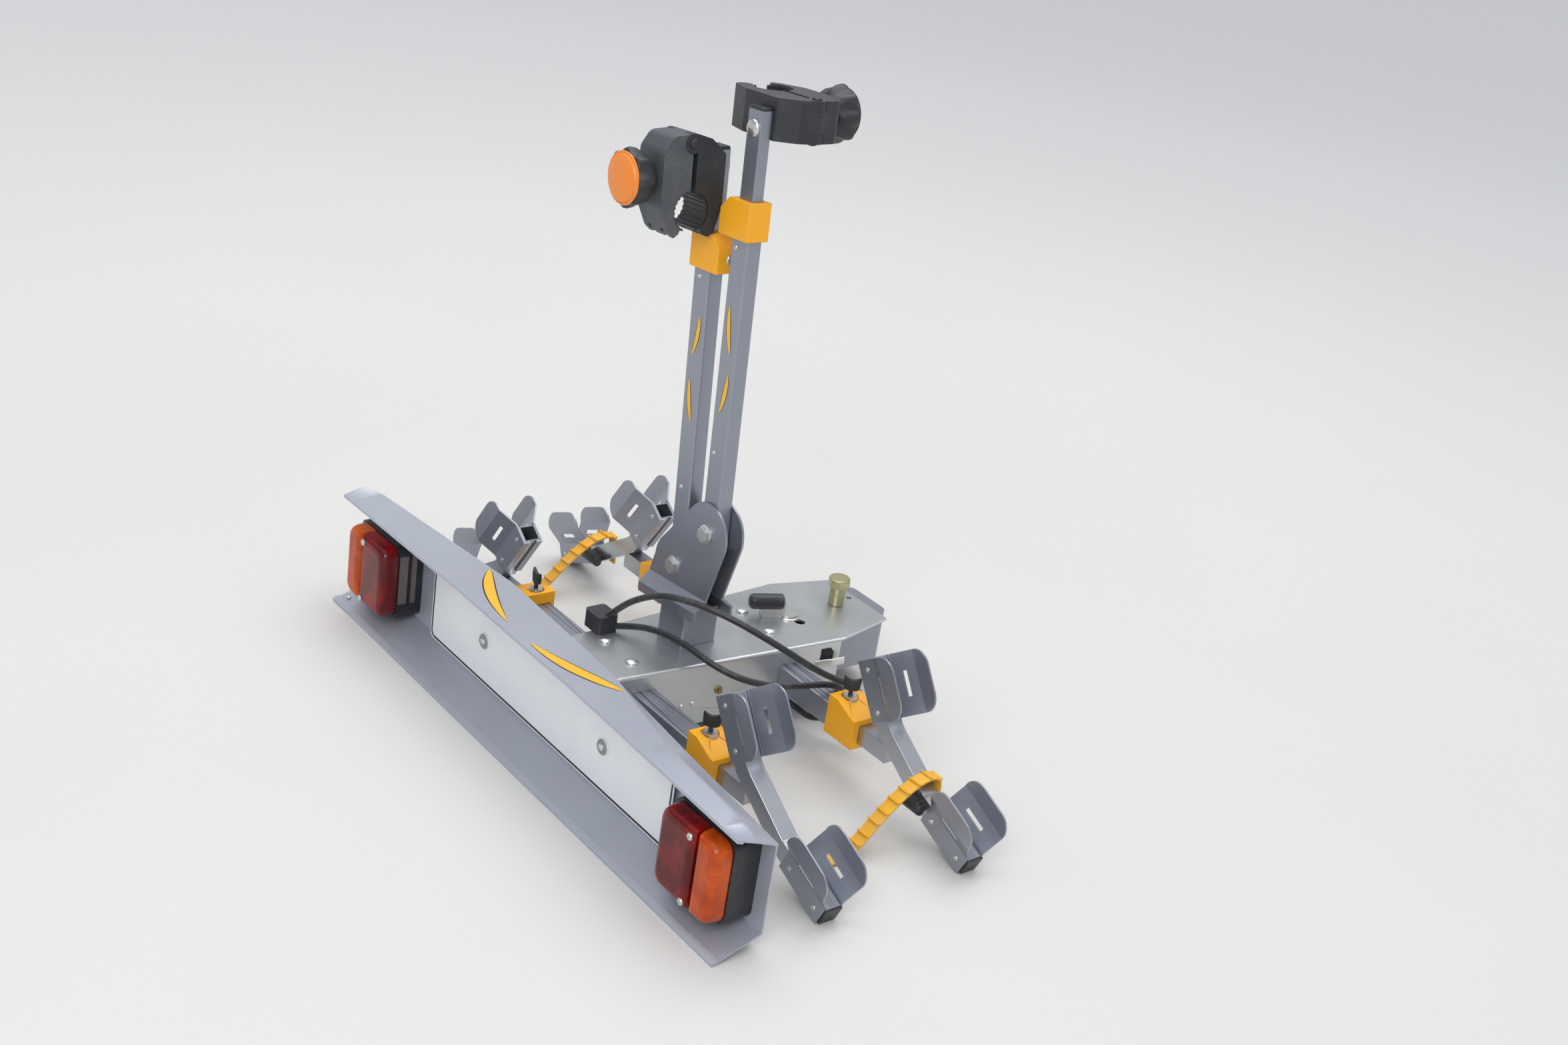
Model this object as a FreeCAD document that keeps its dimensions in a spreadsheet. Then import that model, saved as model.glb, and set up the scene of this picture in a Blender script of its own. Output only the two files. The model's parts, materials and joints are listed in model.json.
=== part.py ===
import FreeCAD, Part

import math
import os
import re

import Sketcher

# Towbar bicycle carrier for two bikes, folded down and standing on the floor.
# Millimetres. X runs across the vehicle, Y forward towards the towball, Z up from the floor.
# Lengths along Y are written from the rear face of the number plate and moved to the
# middle of the carrier by CENTRE_Y when a piece is placed.

doc = FreeCAD.newDocument("bike_carrier")
sheet = doc.addObject("Spreadsheet::Sheet", "Sizes")

SIZES = [
    # light board
    ("board_half", 422, "half length of the light board"),
    ("board_thick", 2, "sheet of the light board"),
    ("board_wall_y", 6, "rear face of the board's wall, ahead of the plate's face"),
    ("board_rim_reach", 53, "rims stand this far behind the plate's face"),
    ("board_low_fold", 19, "height of the lower fold"),
    ("board_low_rim", 0, "height of the lower rim's edge"),
    ("board_end_reach", 45.5, "the upper rim's reach behind the plate's face at the ends"),
    ("board_left_wall", 133, "top of the wall at the left end"),
    ("board_left_rim", 150, "height of the upper rim at the left end"),
    ("board_left_ridge", 158, "height of the flange's ridge at the left end"),
    ("board_left_ridge_y", -19, "flange's ridge at the left end"),
    ("board_right_wall", 127.5, "top of the wall at the right end"),
    ("board_right_rim", 148, "height of the upper rim at the right end"),
    ("board_right_ridge", 138.5, "height of the flange's ridge at the right end"),
    ("board_right_ridge_y", -19, "flange's ridge at the right end"),
    ("board_ear", 24, "length of the bent corner at each end"),
    ("board_left_crease", 154, "height of the ridge where the left corner is bent"),
    ("board_left_crease_y", -4, "ridge where the left corner is bent"),
    ("board_right_crease", 150, "height of the ridge where the right corner is bent"),
    ("board_right_crease_y", -20, "ridge where the right corner is bent"),
    ("board_mid_half", 118, "half length of the raised middle"),
    ("board_mid_wall", 155, "top of the wall in the middle"),
    ("board_mid_rim", 164, "height of the upper rim in the middle"),
    ("board_mid_ridge", 157, "height of the flange's ridge in the middle"),
    ("board_mid_left_y", 21, "ridge at the left of the raised middle"),
    ("board_mid_right_y", 11, "ridge at the right of the raised middle"),
    ("board_side_x", 262, "station between the raised middle and the right end"),
    ("board_side_ridge", 154, "height of the ridge at that station"),
    ("board_side_ridge_y", -16, "ridge at that station"),
    ("board_hem", 8, "width of the folded hem along each rim"),
    # number plate and lamps
    ("plate_length", 520, "number plate"),
    ("plate_height", 110, "number plate"),
    ("plate_thick", 1.5, "number plate"),
    ("plate_corner", 8, "rounded corners of the number plate"),
    ("plate_cap_stand", 3, "screw caps behind the plate's face"),
    ("plate_cap_x", 130, "screw caps either side of the middle"),
    ("plate_cap_radius", 9, "screw caps"),
    ("lamp_inset", 71, "middle of each lamp from the board's end"),
    ("lamp_width", 102, "lamp housing"),
    ("lamp_height", 100, "lamp housing"),
    ("lamp_depth", 34, "lamp housing, from the wall"),
    ("lens_depth", 22, "lens, behind the housing"),
    ("lens_edge", 2, "lens stands in from the housing's outline"),
    ("lamp_corner", 12, "rounded corners of lamp and lens"),
    ("lamp_lift", 6, "lamp above the lower fold"),
    # chassis cover
    ("cover_top", 108, "height of the chassis cover's top"),
    ("cover_thick", 3, "sheet of the chassis cover"),
    ("cover_depth", 80, "depth of the cover's side walls"),
    ("cover_rear_half", 57, "half width at the rear"),
    ("cover_front_half", 80, "half width where the nose begins"),
    ("cover_bend_y", 377, "end of the side walls"),
    ("cover_nose_y", 470, "front edge of the cover"),
    ("cover_nose_half", 58, "half width of the nose"),
    ("cover_straight", 62, "length of the cover's parallel rear part"),
    ("cover_round", 4, "bends along the cover's side walls"),
    ("bar_size", 30, "square tube of the crossbars"),
    ("bar_wall", 2.5, "wall of the crossbars"),
    ("bar_centre", 71, "height of the crossbars' axis"),
    ("bar_rear_y", 100, "rear crossbar"),
    ("bar_front_y", 303, "front crossbar"),
    ("bar_half", 212, "half length of a crossbar"),
    ("bar_bolt_x", 28, "crossbar bolts either side of the middle"),
    ("bar_bolt_radius", 4, "shank of the crossbar bolts"),
    ("bar_bolt_head", 8, "dome head of the crossbar bolts"),
    ("slide_gap", 0.25, "clearance of sliding and seated fits"),
    # coupling
    ("nose_half", 38, "half width of the coupling's channel"),
    ("nose_reach", 490, "front of the coupling"),
    ("nose_low", 34, "lower edge of the coupling's channel"),
    ("nose_wall", 4, "sheet of the coupling's channel"),
    ("nose_start_y", 372, "rear of the coupling's channel"),
    ("nose_round", 12, "corners of the coupling's channel"),
    ("ball_y", 432, "middle of the towball"),
    ("ball_radius", 25, "towball the cup is made for"),
    ("ball_gap", 0.3, "clearance of the cup round the towball"),
    ("ball_height", 58, "height of the towball's middle"),
    ("cup_radius", 33, "outside of the ball cup"),
    ("cup_low", 50, "lower edge of the ball cup"),
    ("stop_bolt_radius", 8, "shank of the setting bolt"),
    ("stop_bolt_head", 13, "half of the setting bolt's hexagon, across flats"),
    ("stop_bolt_stand", 33, "setting bolt's head above the cover"),
    ("stop_bolt_head_tall", 13, "thickness of the setting bolt's head"),
    # coupling lever
    ("lever_x", 2, "pivot of the lever"),
    ("lever_y", 352, "pivot of the lever"),
    ("lever_disc", 13, "radius of the lever's disc"),
    ("lever_thick", 4, "lever's plate"),
    ("lever_angle", 247, "direction of the lever, seen from above"),
    ("lever_offset", 9, "grip starts this far from the pivot"),
    ("grip_length", 44, "lever's grip"),
    ("grip_radius", 10, "lever's grip"),
    ("grip_lift", 19, "grip's axis above the cover"),
    # post and head
    ("post_size", 50, "square tube of the post"),
    ("post_wall", 3, "wall of the post"),
    ("post_y", 196, "middle of the post"),
    ("post_top", 158, "height of the post"),
    ("head_lean", 5, "lean of the head towards the left, as it stands"),
    ("head_pivot_z", 160, "height about which the head leans"),
    ("head_plate", 3, "sheet of the head plates"),
    ("head_gap", 21, "room between the head plates"),
    ("head_low", 15, "head plates start this far above the lean's height"),
    ("head_left", 69, "head plate's lower corner on the left"),
    ("head_right", 45, "head plate's lower corner on the right"),
    ("head_flare", 14, "height of the flare under each head plate"),
    ("head_lip", 11, "lip that meets the post"),
    ("pin_left_x", -21.5, "left arm's pivot, across"),
    ("pin_left_z", 37, "left arm's pivot above the lean's height"),
    ("pin_right_x", 35.6, "right arm's pivot, across"),
    ("pin_right_z", 96, "right arm's pivot above the lean's height"),
    ("pin_edge", 38, "head plate beyond the pivots"),
    ("pin_radius", 5, "pivot bolts"),
    ("pin_head", 8.5, "half of the pivot bolts' hexagon, across flats"),
    ("pin_gap", 0.05, "running clearance of the pivots"),
    # arms
    ("arm_width", 29, "outer tube of the arms, across"),
    ("arm_depth", 20, "outer tube of the arms, fore and aft"),
    ("arm_wall", 2.5, "wall of the outer tubes"),
    ("arm_tail", 17, "outer tube below its pivot"),
    ("left_lean", 4.3, "lean of the left arm to the left"),
    ("right_lean", 3.1, "lean of the right arm to the left"),
    ("left_arm_length", 382, "left outer tube above its pivot"),
    ("right_arm_length", 369, "right outer tube above its pivot"),
    ("left_top", 494.5, "top of the left inner tube above its pivot"),
    ("right_top", 488, "top of the right inner tube above its pivot"),
    ("inner_overlap", 130, "inner tube held inside the outer tube at rest"),
    ("arm_gap", 0.3, "clearance of the inner tube in the arm and its collar"),
    ("collar_width", 52, "arm collar across"),
    ("collar_depth", 30, "arm collar fore and aft"),
    ("collar_height", 43, "arm collar"),
    ("collar_grip", 22, "arm collar over the outer tube"),
    ("collar_chamfer", 14, "cut corner of the arm collar"),
    ("collar_side", 8, "arm collar's screw boss stands off centre by this"),
    # frame clamps
    ("clamp_width", 46, "frame clamps"),
    ("clamp_length", 102, "frame clamps, from hinge to tips"),
    ("clamp_thick", 82, "frame clamps, across both jaws"),
    ("clamp_hinge_n", 44, "hinge above the fixed jaw's back"),
    ("clamp_boss", 11, "round of the hinge"),
    ("clamp_pin", 4, "hinge pin"),
    ("clamp_bolt", 5, "swivel bolt"),
    ("swivel_head", 10, "dome of the swivel bolt"),
    ("swivel_tall", 5, "dome of the swivel bolt"),
    ("clamp_mount_s", 29, "swivel bolt from the hinge"),
    ("clamp_raise", 12, "right clamp's middle above its swivel bolt"),
    ("clamp_cell", 7, "square pockets in the jaws' tips"),
    ("clamp_cell_depth", 9, "pockets, inwards from the furthest tip"),
    ("clamp_rod_s", 39, "screw rod from the hinge"),
    ("clamp_rod", 4, "screw rod"),
    ("clamp_slot", 6, "slot between the jaws"),
    ("clamp_hole_s", 74, "middle of the frame hole from the hinge"),
    ("clamp_hole_n", 41, "middle of the frame hole above the back"),
    ("clamp_hole", 23, "radius of the frame hole"),
    ("clamp_round", 12, "round of the moving jaw's back"),
    ("clamp_ear", 12, "half of the middle knuckle's width"),
    ("clamp_drop", 20, "swivel bolt below the inner tube's top"),
    ("knob_radius", 35, "knob over its lobes"),
    ("knob_lobes", 8, "number of lobes"),
    ("knob_tall", 27, "height of the knob"),
    ("knob_stand", 7, "knob above the moving jaw"),
    ("knob_hub", 8, "hub under the knob"),
    ("knob_gap", 1.1, "hub above the moving jaw, for the jaw's rocking"),
    ("rod_play", 8.5, "half length of the screw rod's slot in the moving jaw"),
    ("cap_radius", 30, "cap of the knob"),
    ("cap_tall", 7, "crown of the cap"),
    # bar collars
    ("clip_start", 172, "inner end of the bar collars"),
    ("clip_length", 50, "bar collars"),
    ("clip_wall", 5, "bar collars beside the bar"),
    ("clip_top", 102, "height of the bar collars"),
    ("clip_shoulder", 16, "level part of the collar's top"),
    ("clip_fall", 12, "fall of the collar's top to its outer end"),
    ("clip_base", 4, "bar collars under the bar"),
    ("screw_x", 186, "clamp screws of the bar collars"),
    ("screw_radius", 4, "clamp screws of the bar collars"),
    ("screw_head", 8, "half of the clamp screws' hexagon, across flats"),
    ("wing_width", 14, "wing of the clamp screws"),
    ("wing_tall", 24, "wing of the clamp screws"),
    ("wing_thick", 6, "wing of the clamp screws"),
    # wheel cradles
    ("rail_size", 22, "square tube of the cradles"),
    ("rail_wall", 2, "wall of the cradles"),
    ("rail_start", 60, "inner end of the cradle's straight tube"),
    ("rail_steep", 55.4, "slope of the cradle's inner run"),
    ("rail_middle", 33, "slope of the cradle's middle run"),
    ("rail_flat", 23.5, "slope of the cradle's outer run"),
    ("rail_bend_x", 260, "cradle's inner bend, across"),
    ("rail_inner", 84, "length of the inner run"),
    ("rail_mid", 90, "length of the middle run"),
    ("rail_outer", 90, "length of the outer run"),
    ("rail_round", 42, "radius of the inner bend"),
    # wheel guides
    ("guide_length", 74, "guides, along the tube"),
    ("guide_thick", 2, "sheet of the guides"),
    ("guide_splay_out", 14, "splay of a guide, sideways"),
    ("guide_splay_up", 24, "splay of a guide, upwards"),
    ("guide_fold", 3, "fold of a guide above the tube"),
    ("guide_lip", 22, "upright lip of a guide"),
    ("guide_round", 20, "rounded corners of the lip"),
    ("guide_slot", 5, "slot in the splay"),
    ("guide_slot_length", 30, "slot in the splay"),
    ("guide_under", 8.5, "turned edge under the tube"),
    ("plug_out", 3, "end plug outside the tube"),
    ("plug_in", 14, "end plug inside the tube"),
    # wheel straps
    ("strap_x", 333, "straps, across"),
    ("strap_width", 18, "straps"),
    ("strap_thick", 3, "straps"),
    ("strap_tooth", 2, "height of the straps' teeth"),
    ("strap_teeth", 9, "number of teeth"),
    ("tooth_length", 4, "teeth, along the strap"),
    ("tooth_pitch", 16, "from tooth to tooth"),
    ("tooth_start", 38, "first tooth from the strap's fixed end"),
    ("buckle_length", 12, "strap buckle, fore and aft"),
    ("buckle_width", 22, "strap buckle, across"),
    ("buckle_tall", 16, "strap buckle"),
    # lighting cable
    ("cable_radius", 4, "lighting cables"),
    ("gland_x", -58.5, "cable holder, across"),
    ("gland_y", 112, "cable holder"),
    ("gland_width", 33, "cable holder, across"),
    ("gland_length", 28, "cable holder, fore and aft"),
    ("gland_tall", 22, "cable holder"),
    ("gland_round", 5, "corners of the cable holder"),
    ("lead_out_z", 36, "height of the leads' holes in the cover's side"),
    ("lead_upper_y", 322, "upper lead's hole in the cover's side"),
    ("lead_lower_y", 306, "lower lead's hole in the cover's side"),
    ("lead_tail", 16, "leads run on this far inside the cover's side"),
]

for row, (name, value, note) in enumerate(SIZES, start=1):
    sheet.set("A%d" % row, name)
    sheet.set("B%d" % row, str(value))
    sheet.setAlias("B%d" % row, name)
    sheet.set("C%d" % row, note)
doc.recompute()

NAMES = {name for name, value, note in SIZES}
WORD = re.compile(r"[A-Za-z_][A-Za-z_0-9]*")
CENTRE_Y = "((nose_reach - board_rim_reach) / 2)"

# The lower corner of the outer guides stands on the floor.
RAIL_BEND_Z = ("rail_mid * sin(rail_middle) + rail_outer * sin(rail_flat)"
               " + (rail_size / 2 + slide_gap + guide_thick) * cos(rail_flat)")


def bound(text):
    """The expression with every size's alias pointed at the sheet."""
    return WORD.sub(lambda m: "Sizes." + m.group() if m.group() in NAMES else m.group(), str(text))


def number(text):
    """The value of an expression of sizes, as a plain number."""
    value = sheet.evalExpression(bound(text))
    return float(getattr(value, "Value", value))


def bind(item, prop, text):
    item.setExpression(prop, bound(text))


# Bodies and sketches

PLANES = {"XY": "XY_Plane", "XZ": "XZ_Plane", "YZ": "YZ_Plane"}


def new_body(label):
    body = doc.addObject("PartDesign::Body", label)
    body.Label = label
    return body


def place(item, x="0", y="0", z="0", axis=(0, 0, 1), angle="0", centred=True):
    """Puts a piece at a point given from the plate's face, turned about one axis."""
    shift = " - " + CENTRE_Y if centred else ""
    turn = "rotation(vector(%g; %g; %g); %s)" % (axis + (bound(angle),))
    spot = "vector(%s; %s; %s)" % (bound(x), bound("(" + str(y) + ")" + shift), bound(z))
    item.setExpression("Placement", "placement(%s; %s)" % (spot, turn))
    return item


def sketch_on(body, plane, start, length="0"):
    """A sketch on one of the body's own planes, moved along that plane's positive axis."""
    sketch = body.newObject("Sketcher::SketchObject", body.Name + "_sketch")
    role = PLANES[plane]
    support = [item for item in body.Origin.OriginFeatures if item.Role == role][0]
    sketch.AttachmentSupport = [(support, "")]
    sketch.MapMode = "FlatFace"
    if plane == "XZ":
        bind(sketch, ".AttachmentOffset.Base.z", "-((%s) + (%s))" % (start, length))
    else:
        bind(sketch, ".AttachmentOffset.Base.z", start)
    return sketch


def fix(sketch, kind, where, text):
    """A constraint whose value is an expression; a nought is a point on the axis."""
    value = number(text)
    index = sketch.addConstraint(Sketcher.Constraint(kind, -1, 1, *where, value))
    sketch.setExpression("Constraints[%d]" % index, bound(text))


def draw(sketch, loop):
    """Draws a circle, or a closed outline of straight lines through named points."""
    if loop[0] == "circle":
        kind, across, up, radius = loop
        centre = FreeCAD.Vector(number(across), number(up), 0)
        edge = sketch.addGeometry(Part.Circle(centre, FreeCAD.Vector(0, 0, 1), number(radius)), False)
        fix(sketch, "DistanceX", (edge, 3), across)
        fix(sketch, "DistanceY", (edge, 3), up)
        index = sketch.addConstraint(Sketcher.Constraint("Radius", edge, number(radius)))
        sketch.setExpression("Constraints[%d]" % index, bound(radius))
        return
    spots = [FreeCAD.Vector(number(across), number(up), 0) for across, up in loop]
    first = sketch.GeometryCount
    count = len(spots)
    for i in range(count):
        sketch.addGeometry(Part.LineSegment(spots[i], spots[(i + 1) % count]), False)
    for i in range(count):
        sketch.addConstraint(
            Sketcher.Constraint("Coincident", first + i, 2, first + (i + 1) % count, 1))
    for i, (across, up) in enumerate(loop):
        fix(sketch, "DistanceX", (first + i, 1), across)
        fix(sketch, "DistanceY", (first + i, 1), up)


def prism(body, kind, plane, start, length, loops):
    """A pad or pocket between start and start + length along the plane's positive axis."""
    sketch = sketch_on(body, plane, start, length)
    for loop in loops:
        draw(sketch, loop)
    before = body.Shape.Volume if kind == "Pocket" else 0
    feature = body.newObject("PartDesign::" + kind, body.Name + "_" + kind.lower())
    feature.Profile = sketch
    bind(feature, "Length", length)
    if kind == "Pocket":
        feature.Reversed = True
    doc.recompute()
    if kind == "Pocket" and not body.Shape.Volume < before - 1e-6:
        raise ValueError("a pocket of %s cuts nothing" % body.Label)
    return feature


def pad(body, plane, start, length, *loops):
    return prism(body, "Pad", plane, start, length, loops)


def pocket(body, plane, start, length, *loops):
    return prism(body, "Pocket", plane, start, length, loops)


def turned(body, *loops, groove=False):
    """A revolution or groove of outlines drawn across X and Z, about the body's Z axis."""
    sketch = sketch_on(body, "XZ", "0")
    for loop in loops:
        draw(sketch, loop)
    kind = "Groove" if groove else "Revolution"
    before = body.Shape.Volume if groove else 0
    feature = body.newObject("PartDesign::" + kind, body.Name + "_" + kind.lower())
    feature.Profile = sketch
    feature.ReferenceAxis = (sketch, ["V_Axis"])
    feature.Angle = 360
    doc.recompute()
    if groove and not body.Shape.Volume < before - 1e-6:
        raise ValueError("a groove of %s cuts nothing" % body.Label)
    return feature


def edges_through(body, axis, spots):
    """Names of the straight edges along one axis that pass through the named points."""
    along = {"X": 0, "Y": 1, "Z": 2}[axis]
    others = [i for i in range(3) if i != along]
    wanted = [(number(first), number(second)) for first, second in spots]
    inverse = body.Placement.inverse()
    found = []
    for i, edge in enumerate(body.Tip.Shape.Edges, start=1):
        if len(edge.Vertexes) != 2 or edge.Curve.TypeId != "Part::GeomLine":
            continue
        ends = [vertex.Point for vertex in edge.Vertexes]
        if abs(ends[0][along] - ends[1][along]) < 0.99 * edge.Length:
            continue
        for first, second in wanted:
            if abs(ends[0][others[0]] - first) < 0.01 and abs(ends[0][others[1]] - second) < 0.01:
                found.append("Edge%d" % i)
                break
    return found


def rounded(body, axis, radius, spots, kind="Fillet"):
    """Rounds the edges along one axis at the named points."""
    names = edges_through(body, axis, spots)
    if not names:
        raise ValueError("no edge to round on %s" % body.Label)
    base = body.Tip
    feature = body.newObject("PartDesign::" + kind, body.Name + "_" + kind.lower())
    feature.Base = (base, names)
    bind(feature, "Radius" if kind == "Fillet" else "Size", radius)
    doc.recompute()
    return feature


def rect(left, low, right, high):
    return [(left, low), (right, low), (right, high), (left, high)]


def hexagon(across, up, half):
    """A hexagon with two flats across the first axis."""
    points = []
    for i in range(6):
        angle = math.radians(60 * i + 30)
        corner = 1 / math.cos(math.pi / 6)
        points.append(("(%s) + (%s) * %.9f" % (across, half, corner * math.cos(angle)),
                       "(%s) + (%s) * %.9f" % (up, half, corner * math.sin(angle))))
    return points


nodes = []


def node(item):
    nodes.append(item)
    return item


def mirror_left(item, label):
    """The same piece on the other side of the carrier."""
    other = doc.addObject("Part::Mirroring", label)
    other.Label = label
    other.Source = item
    other.Normal = (1, 0, 0)
    doc.recompute()
    return node(other)


# Light board: a folded sheet with hemmed rims, higher in the middle

def board_section(top_z, rim, reach, ridge_y, ridge):
    """The sheet's outline fore and aft, from the upper rim over the ridge and down the wall."""
    top, low = "-(%s)" % reach, "-board_rim_reach"
    wall = "board_wall_y"
    front = "(board_wall_y + board_thick)"
    rise = "((%s) - (%s)) / ((%s) + (%s))" % (rim, ridge, ridge_y, reach)
    drop = "(board_low_fold - board_low_rim) / (board_wall_y + board_rim_reach)"
    hem = "board_hem"
    inner = "min(%s; board_wall_y - 3 * board_thick)" % ridge_y
    return [
        (top, rim),
        (ridge_y, ridge),
        ("max(%s; %s + board_thick / 2)" % (ridge_y, front), top_z),
        (front, "(%s) - board_thick / 2" % top_z),
        (front, "board_low_fold + (%s) * board_thick" % drop),
        (low, "board_low_rim"),
        (low, "board_low_rim + 2 * board_thick"),
        (low + " + " + hem, "board_low_rim + 2 * board_thick + (%s) * %s" % (drop, hem)),
        (low + " + " + hem, "board_low_rim + board_thick + (%s) * %s" % (drop, hem)),
        (wall, "board_low_fold + board_thick"),
        (wall, "(%s) - board_thick / 2" % top_z),
        (inner, "(%s) - board_thick - (%s) * (%s + (%s))" % (rim, rise, inner, reach)),
        (top + " + " + hem, "(%s) - board_thick - (%s) * %s" % (rim, rise, hem)),
        (top + " + " + hem, "(%s) - 2 * board_thick - (%s) * %s" % (rim, rise, hem)),
        (top, "(%s) - 2 * board_thick" % rim),
    ]


def part_way(first, second, share):
    return "(%s + (%s - %s) * %s)" % (first, second, first, share)


def light_board():
    """Wall, lower flange and upper flange, whose ridge runs in towards the rim and whose corners are bent."""
    body = new_body("light_board")
    run = "(board_half - board_mid_half)"
    ear, side = "board_ear / " + run, "(board_half - board_side_x) / " + run

    def between(end, share):
        return (part_way("board_%s_wall" % end, "board_mid_wall", share),
                part_way("board_%s_rim" % end, "board_mid_rim", share),
                part_way("board_end_reach", "board_rim_reach", share))

    middle = ("board_mid_wall", "board_mid_rim", "board_rim_reach")
    stations = [
        ("-board_half", between("left", "0"), "board_left_ridge_y", "board_left_ridge"),
        ("-board_half + board_ear", between("left", ear), "board_left_crease_y", "board_left_crease"),
        ("-board_mid_half", middle, "board_mid_left_y", "board_mid_ridge"),
        ("board_mid_half", middle, "board_mid_right_y", "board_mid_ridge"),
        ("board_side_x", between("right", side), "board_side_ridge_y", "board_side_ridge"),
        ("board_half - board_ear", between("right", ear), "board_right_crease_y", "board_right_crease"),
        ("board_half", between("right", "0"), "board_right_ridge_y", "board_right_ridge"),
    ]
    sketches = []
    for across, heights, ridge_y, ridge in stations:
        sketch = sketch_on(body, "YZ", across)
        draw(sketch, board_section(*heights, ridge_y, ridge))
        sketches.append(sketch)
    doc.recompute()
    loft = body.newObject("PartDesign::AdditiveLoft", "board_loft")
    loft.Profile = sketches[0]
    loft.Sections = sketches[1:]
    loft.Ruled = True
    doc.recompute()
    node(place(body))
    return body


def number_plate():
    body = new_body("number_plate")
    pad(body, "XZ", "0", "plate_thick",
        rect("-plate_length / 2", "0", "plate_length / 2", "plate_height"))
    rounded(body, "Y", "plate_corner",
            [("-plate_length / 2", "0"), ("plate_length / 2", "0"),
             ("-plate_length / 2", "plate_height"), ("plate_length / 2", "plate_height")])
    for side in ("-", ""):
        pad(body, "XZ", "-plate_cap_stand", "board_wall_y + plate_cap_stand",
            ("circle", side + "plate_cap_x", "plate_height * 0.52", "plate_cap_radius"))
    low = "board_low_fold + board_thick - (board_low_fold - board_low_rim) / (board_wall_y + board_rim_reach)"
    node(place(body, z=low + " * (board_wall_y - plate_thick) + slide_gap"))
    return body


def lamp_outline(inset):
    half = "(lamp_width / 2 - (%s))" % inset
    low = "(board_low_fold + lamp_lift + (%s))" % inset
    high = "(board_low_fold + lamp_lift + lamp_height - (%s))" % inset
    return rect("board_half - lamp_inset - " + half, low, "board_half - lamp_inset + " + half, high)


def lamp():
    """One rear lamp: a black housing on the wall and the two-colour lens behind it."""
    housing = new_body("lamp_housing_right")
    outline = lamp_outline("0")
    pad(housing, "XZ", "board_wall_y - lamp_depth", "lamp_depth", outline)
    rounded(housing, "Y", "lamp_corner", outline)
    lens = new_body("lamp_lens_right")
    inner = lamp_outline("lens_edge")
    pad(lens, "XZ", "board_wall_y - lamp_depth - lens_depth", "lens_depth", inner)
    rounded(lens, "Y", "lamp_corner", inner)
    for item in (housing, lens):
        node(place(item))
        mirror_left(item, item.Label.replace("right", "left"))


# Chassis cover and coupling

def chassis_cover():
    body = new_body("chassis_cover")
    rear = "board_wall_y + board_thick"
    straight = rear + " + cover_straight"
    half = [("cover_rear_half", rear), ("cover_rear_half", straight),
            ("cover_front_half", "cover_bend_y"), ("cover_nose_half", "cover_nose_y")]
    outline = half + [("-(%s)" % across, along) for across, along in reversed(half)]
    pad(body, "XY", "cover_top - cover_depth", "cover_depth", outline)
    rounded(body, "Y", "cover_round", [(side + across, "cover_top") for side in ("", "-")
                                       for across in ("cover_rear_half", "cover_front_half")])
    inner = [("cover_rear_half - cover_thick", rear + " - 20"),
             ("cover_rear_half - cover_thick", straight),
             ("cover_front_half - cover_thick", "cover_bend_y"),
             ("cover_front_half + 20", "cover_bend_y"),
             ("cover_front_half + 20", "cover_nose_y + 20")]
    pocket(body, "XY", "cover_top - cover_depth - 5", "cover_depth - cover_thick + 5",
           inner + [("-(%s)" % across, along) for across, along in reversed(inner)])
    for middle in ("bar_rear_y", "bar_front_y"):
        fit = "(bar_size / 2 + slide_gap)"
        pocket(body, "YZ", "-cover_front_half - 5", "2 * cover_front_half + 10",
               rect(middle + " - " + fit, "bar_centre - " + fit, middle + " + " + fit, "bar_centre + " + fit))
        pocket(body, "XY", "cover_top - cover_thick - 1", "cover_thick + 2",
               ("circle", "bar_bolt_x", middle, "bar_bolt_radius + slide_gap"),
               ("circle", "-bar_bolt_x", middle, "bar_bolt_radius + slide_gap"))
    fit = "(post_size / 2 + slide_gap)"
    pocket(body, "XY", "cover_top - cover_thick - 1", "cover_thick + 2",
           rect("-" + fit, "post_y - " + fit, fit, "post_y + " + fit))
    pocket(body, "XY", "cover_top - cover_thick - 1", "cover_thick + 2",
           ("circle", "0", "ball_y", "stop_bolt_radius + slide_gap"),
           ("circle", "lever_x", "lever_y", "lever_disc / 2 + slide_gap"),
           ("circle", "lever_x + 20", "lever_y + 4", "7"),
           ("circle", "-7", "cover_nose_y - 10", "4"))
    pocket(body, "YZ", "cover_rear_half", "cover_front_half - cover_rear_half + 5",
           ("circle", "lead_upper_y", "lead_out_z", "cable_radius + slide_gap"),
           ("circle", "lead_lower_y", "lead_out_z", "cable_radius + slide_gap"))
    node(place(body))
    return body


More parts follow.
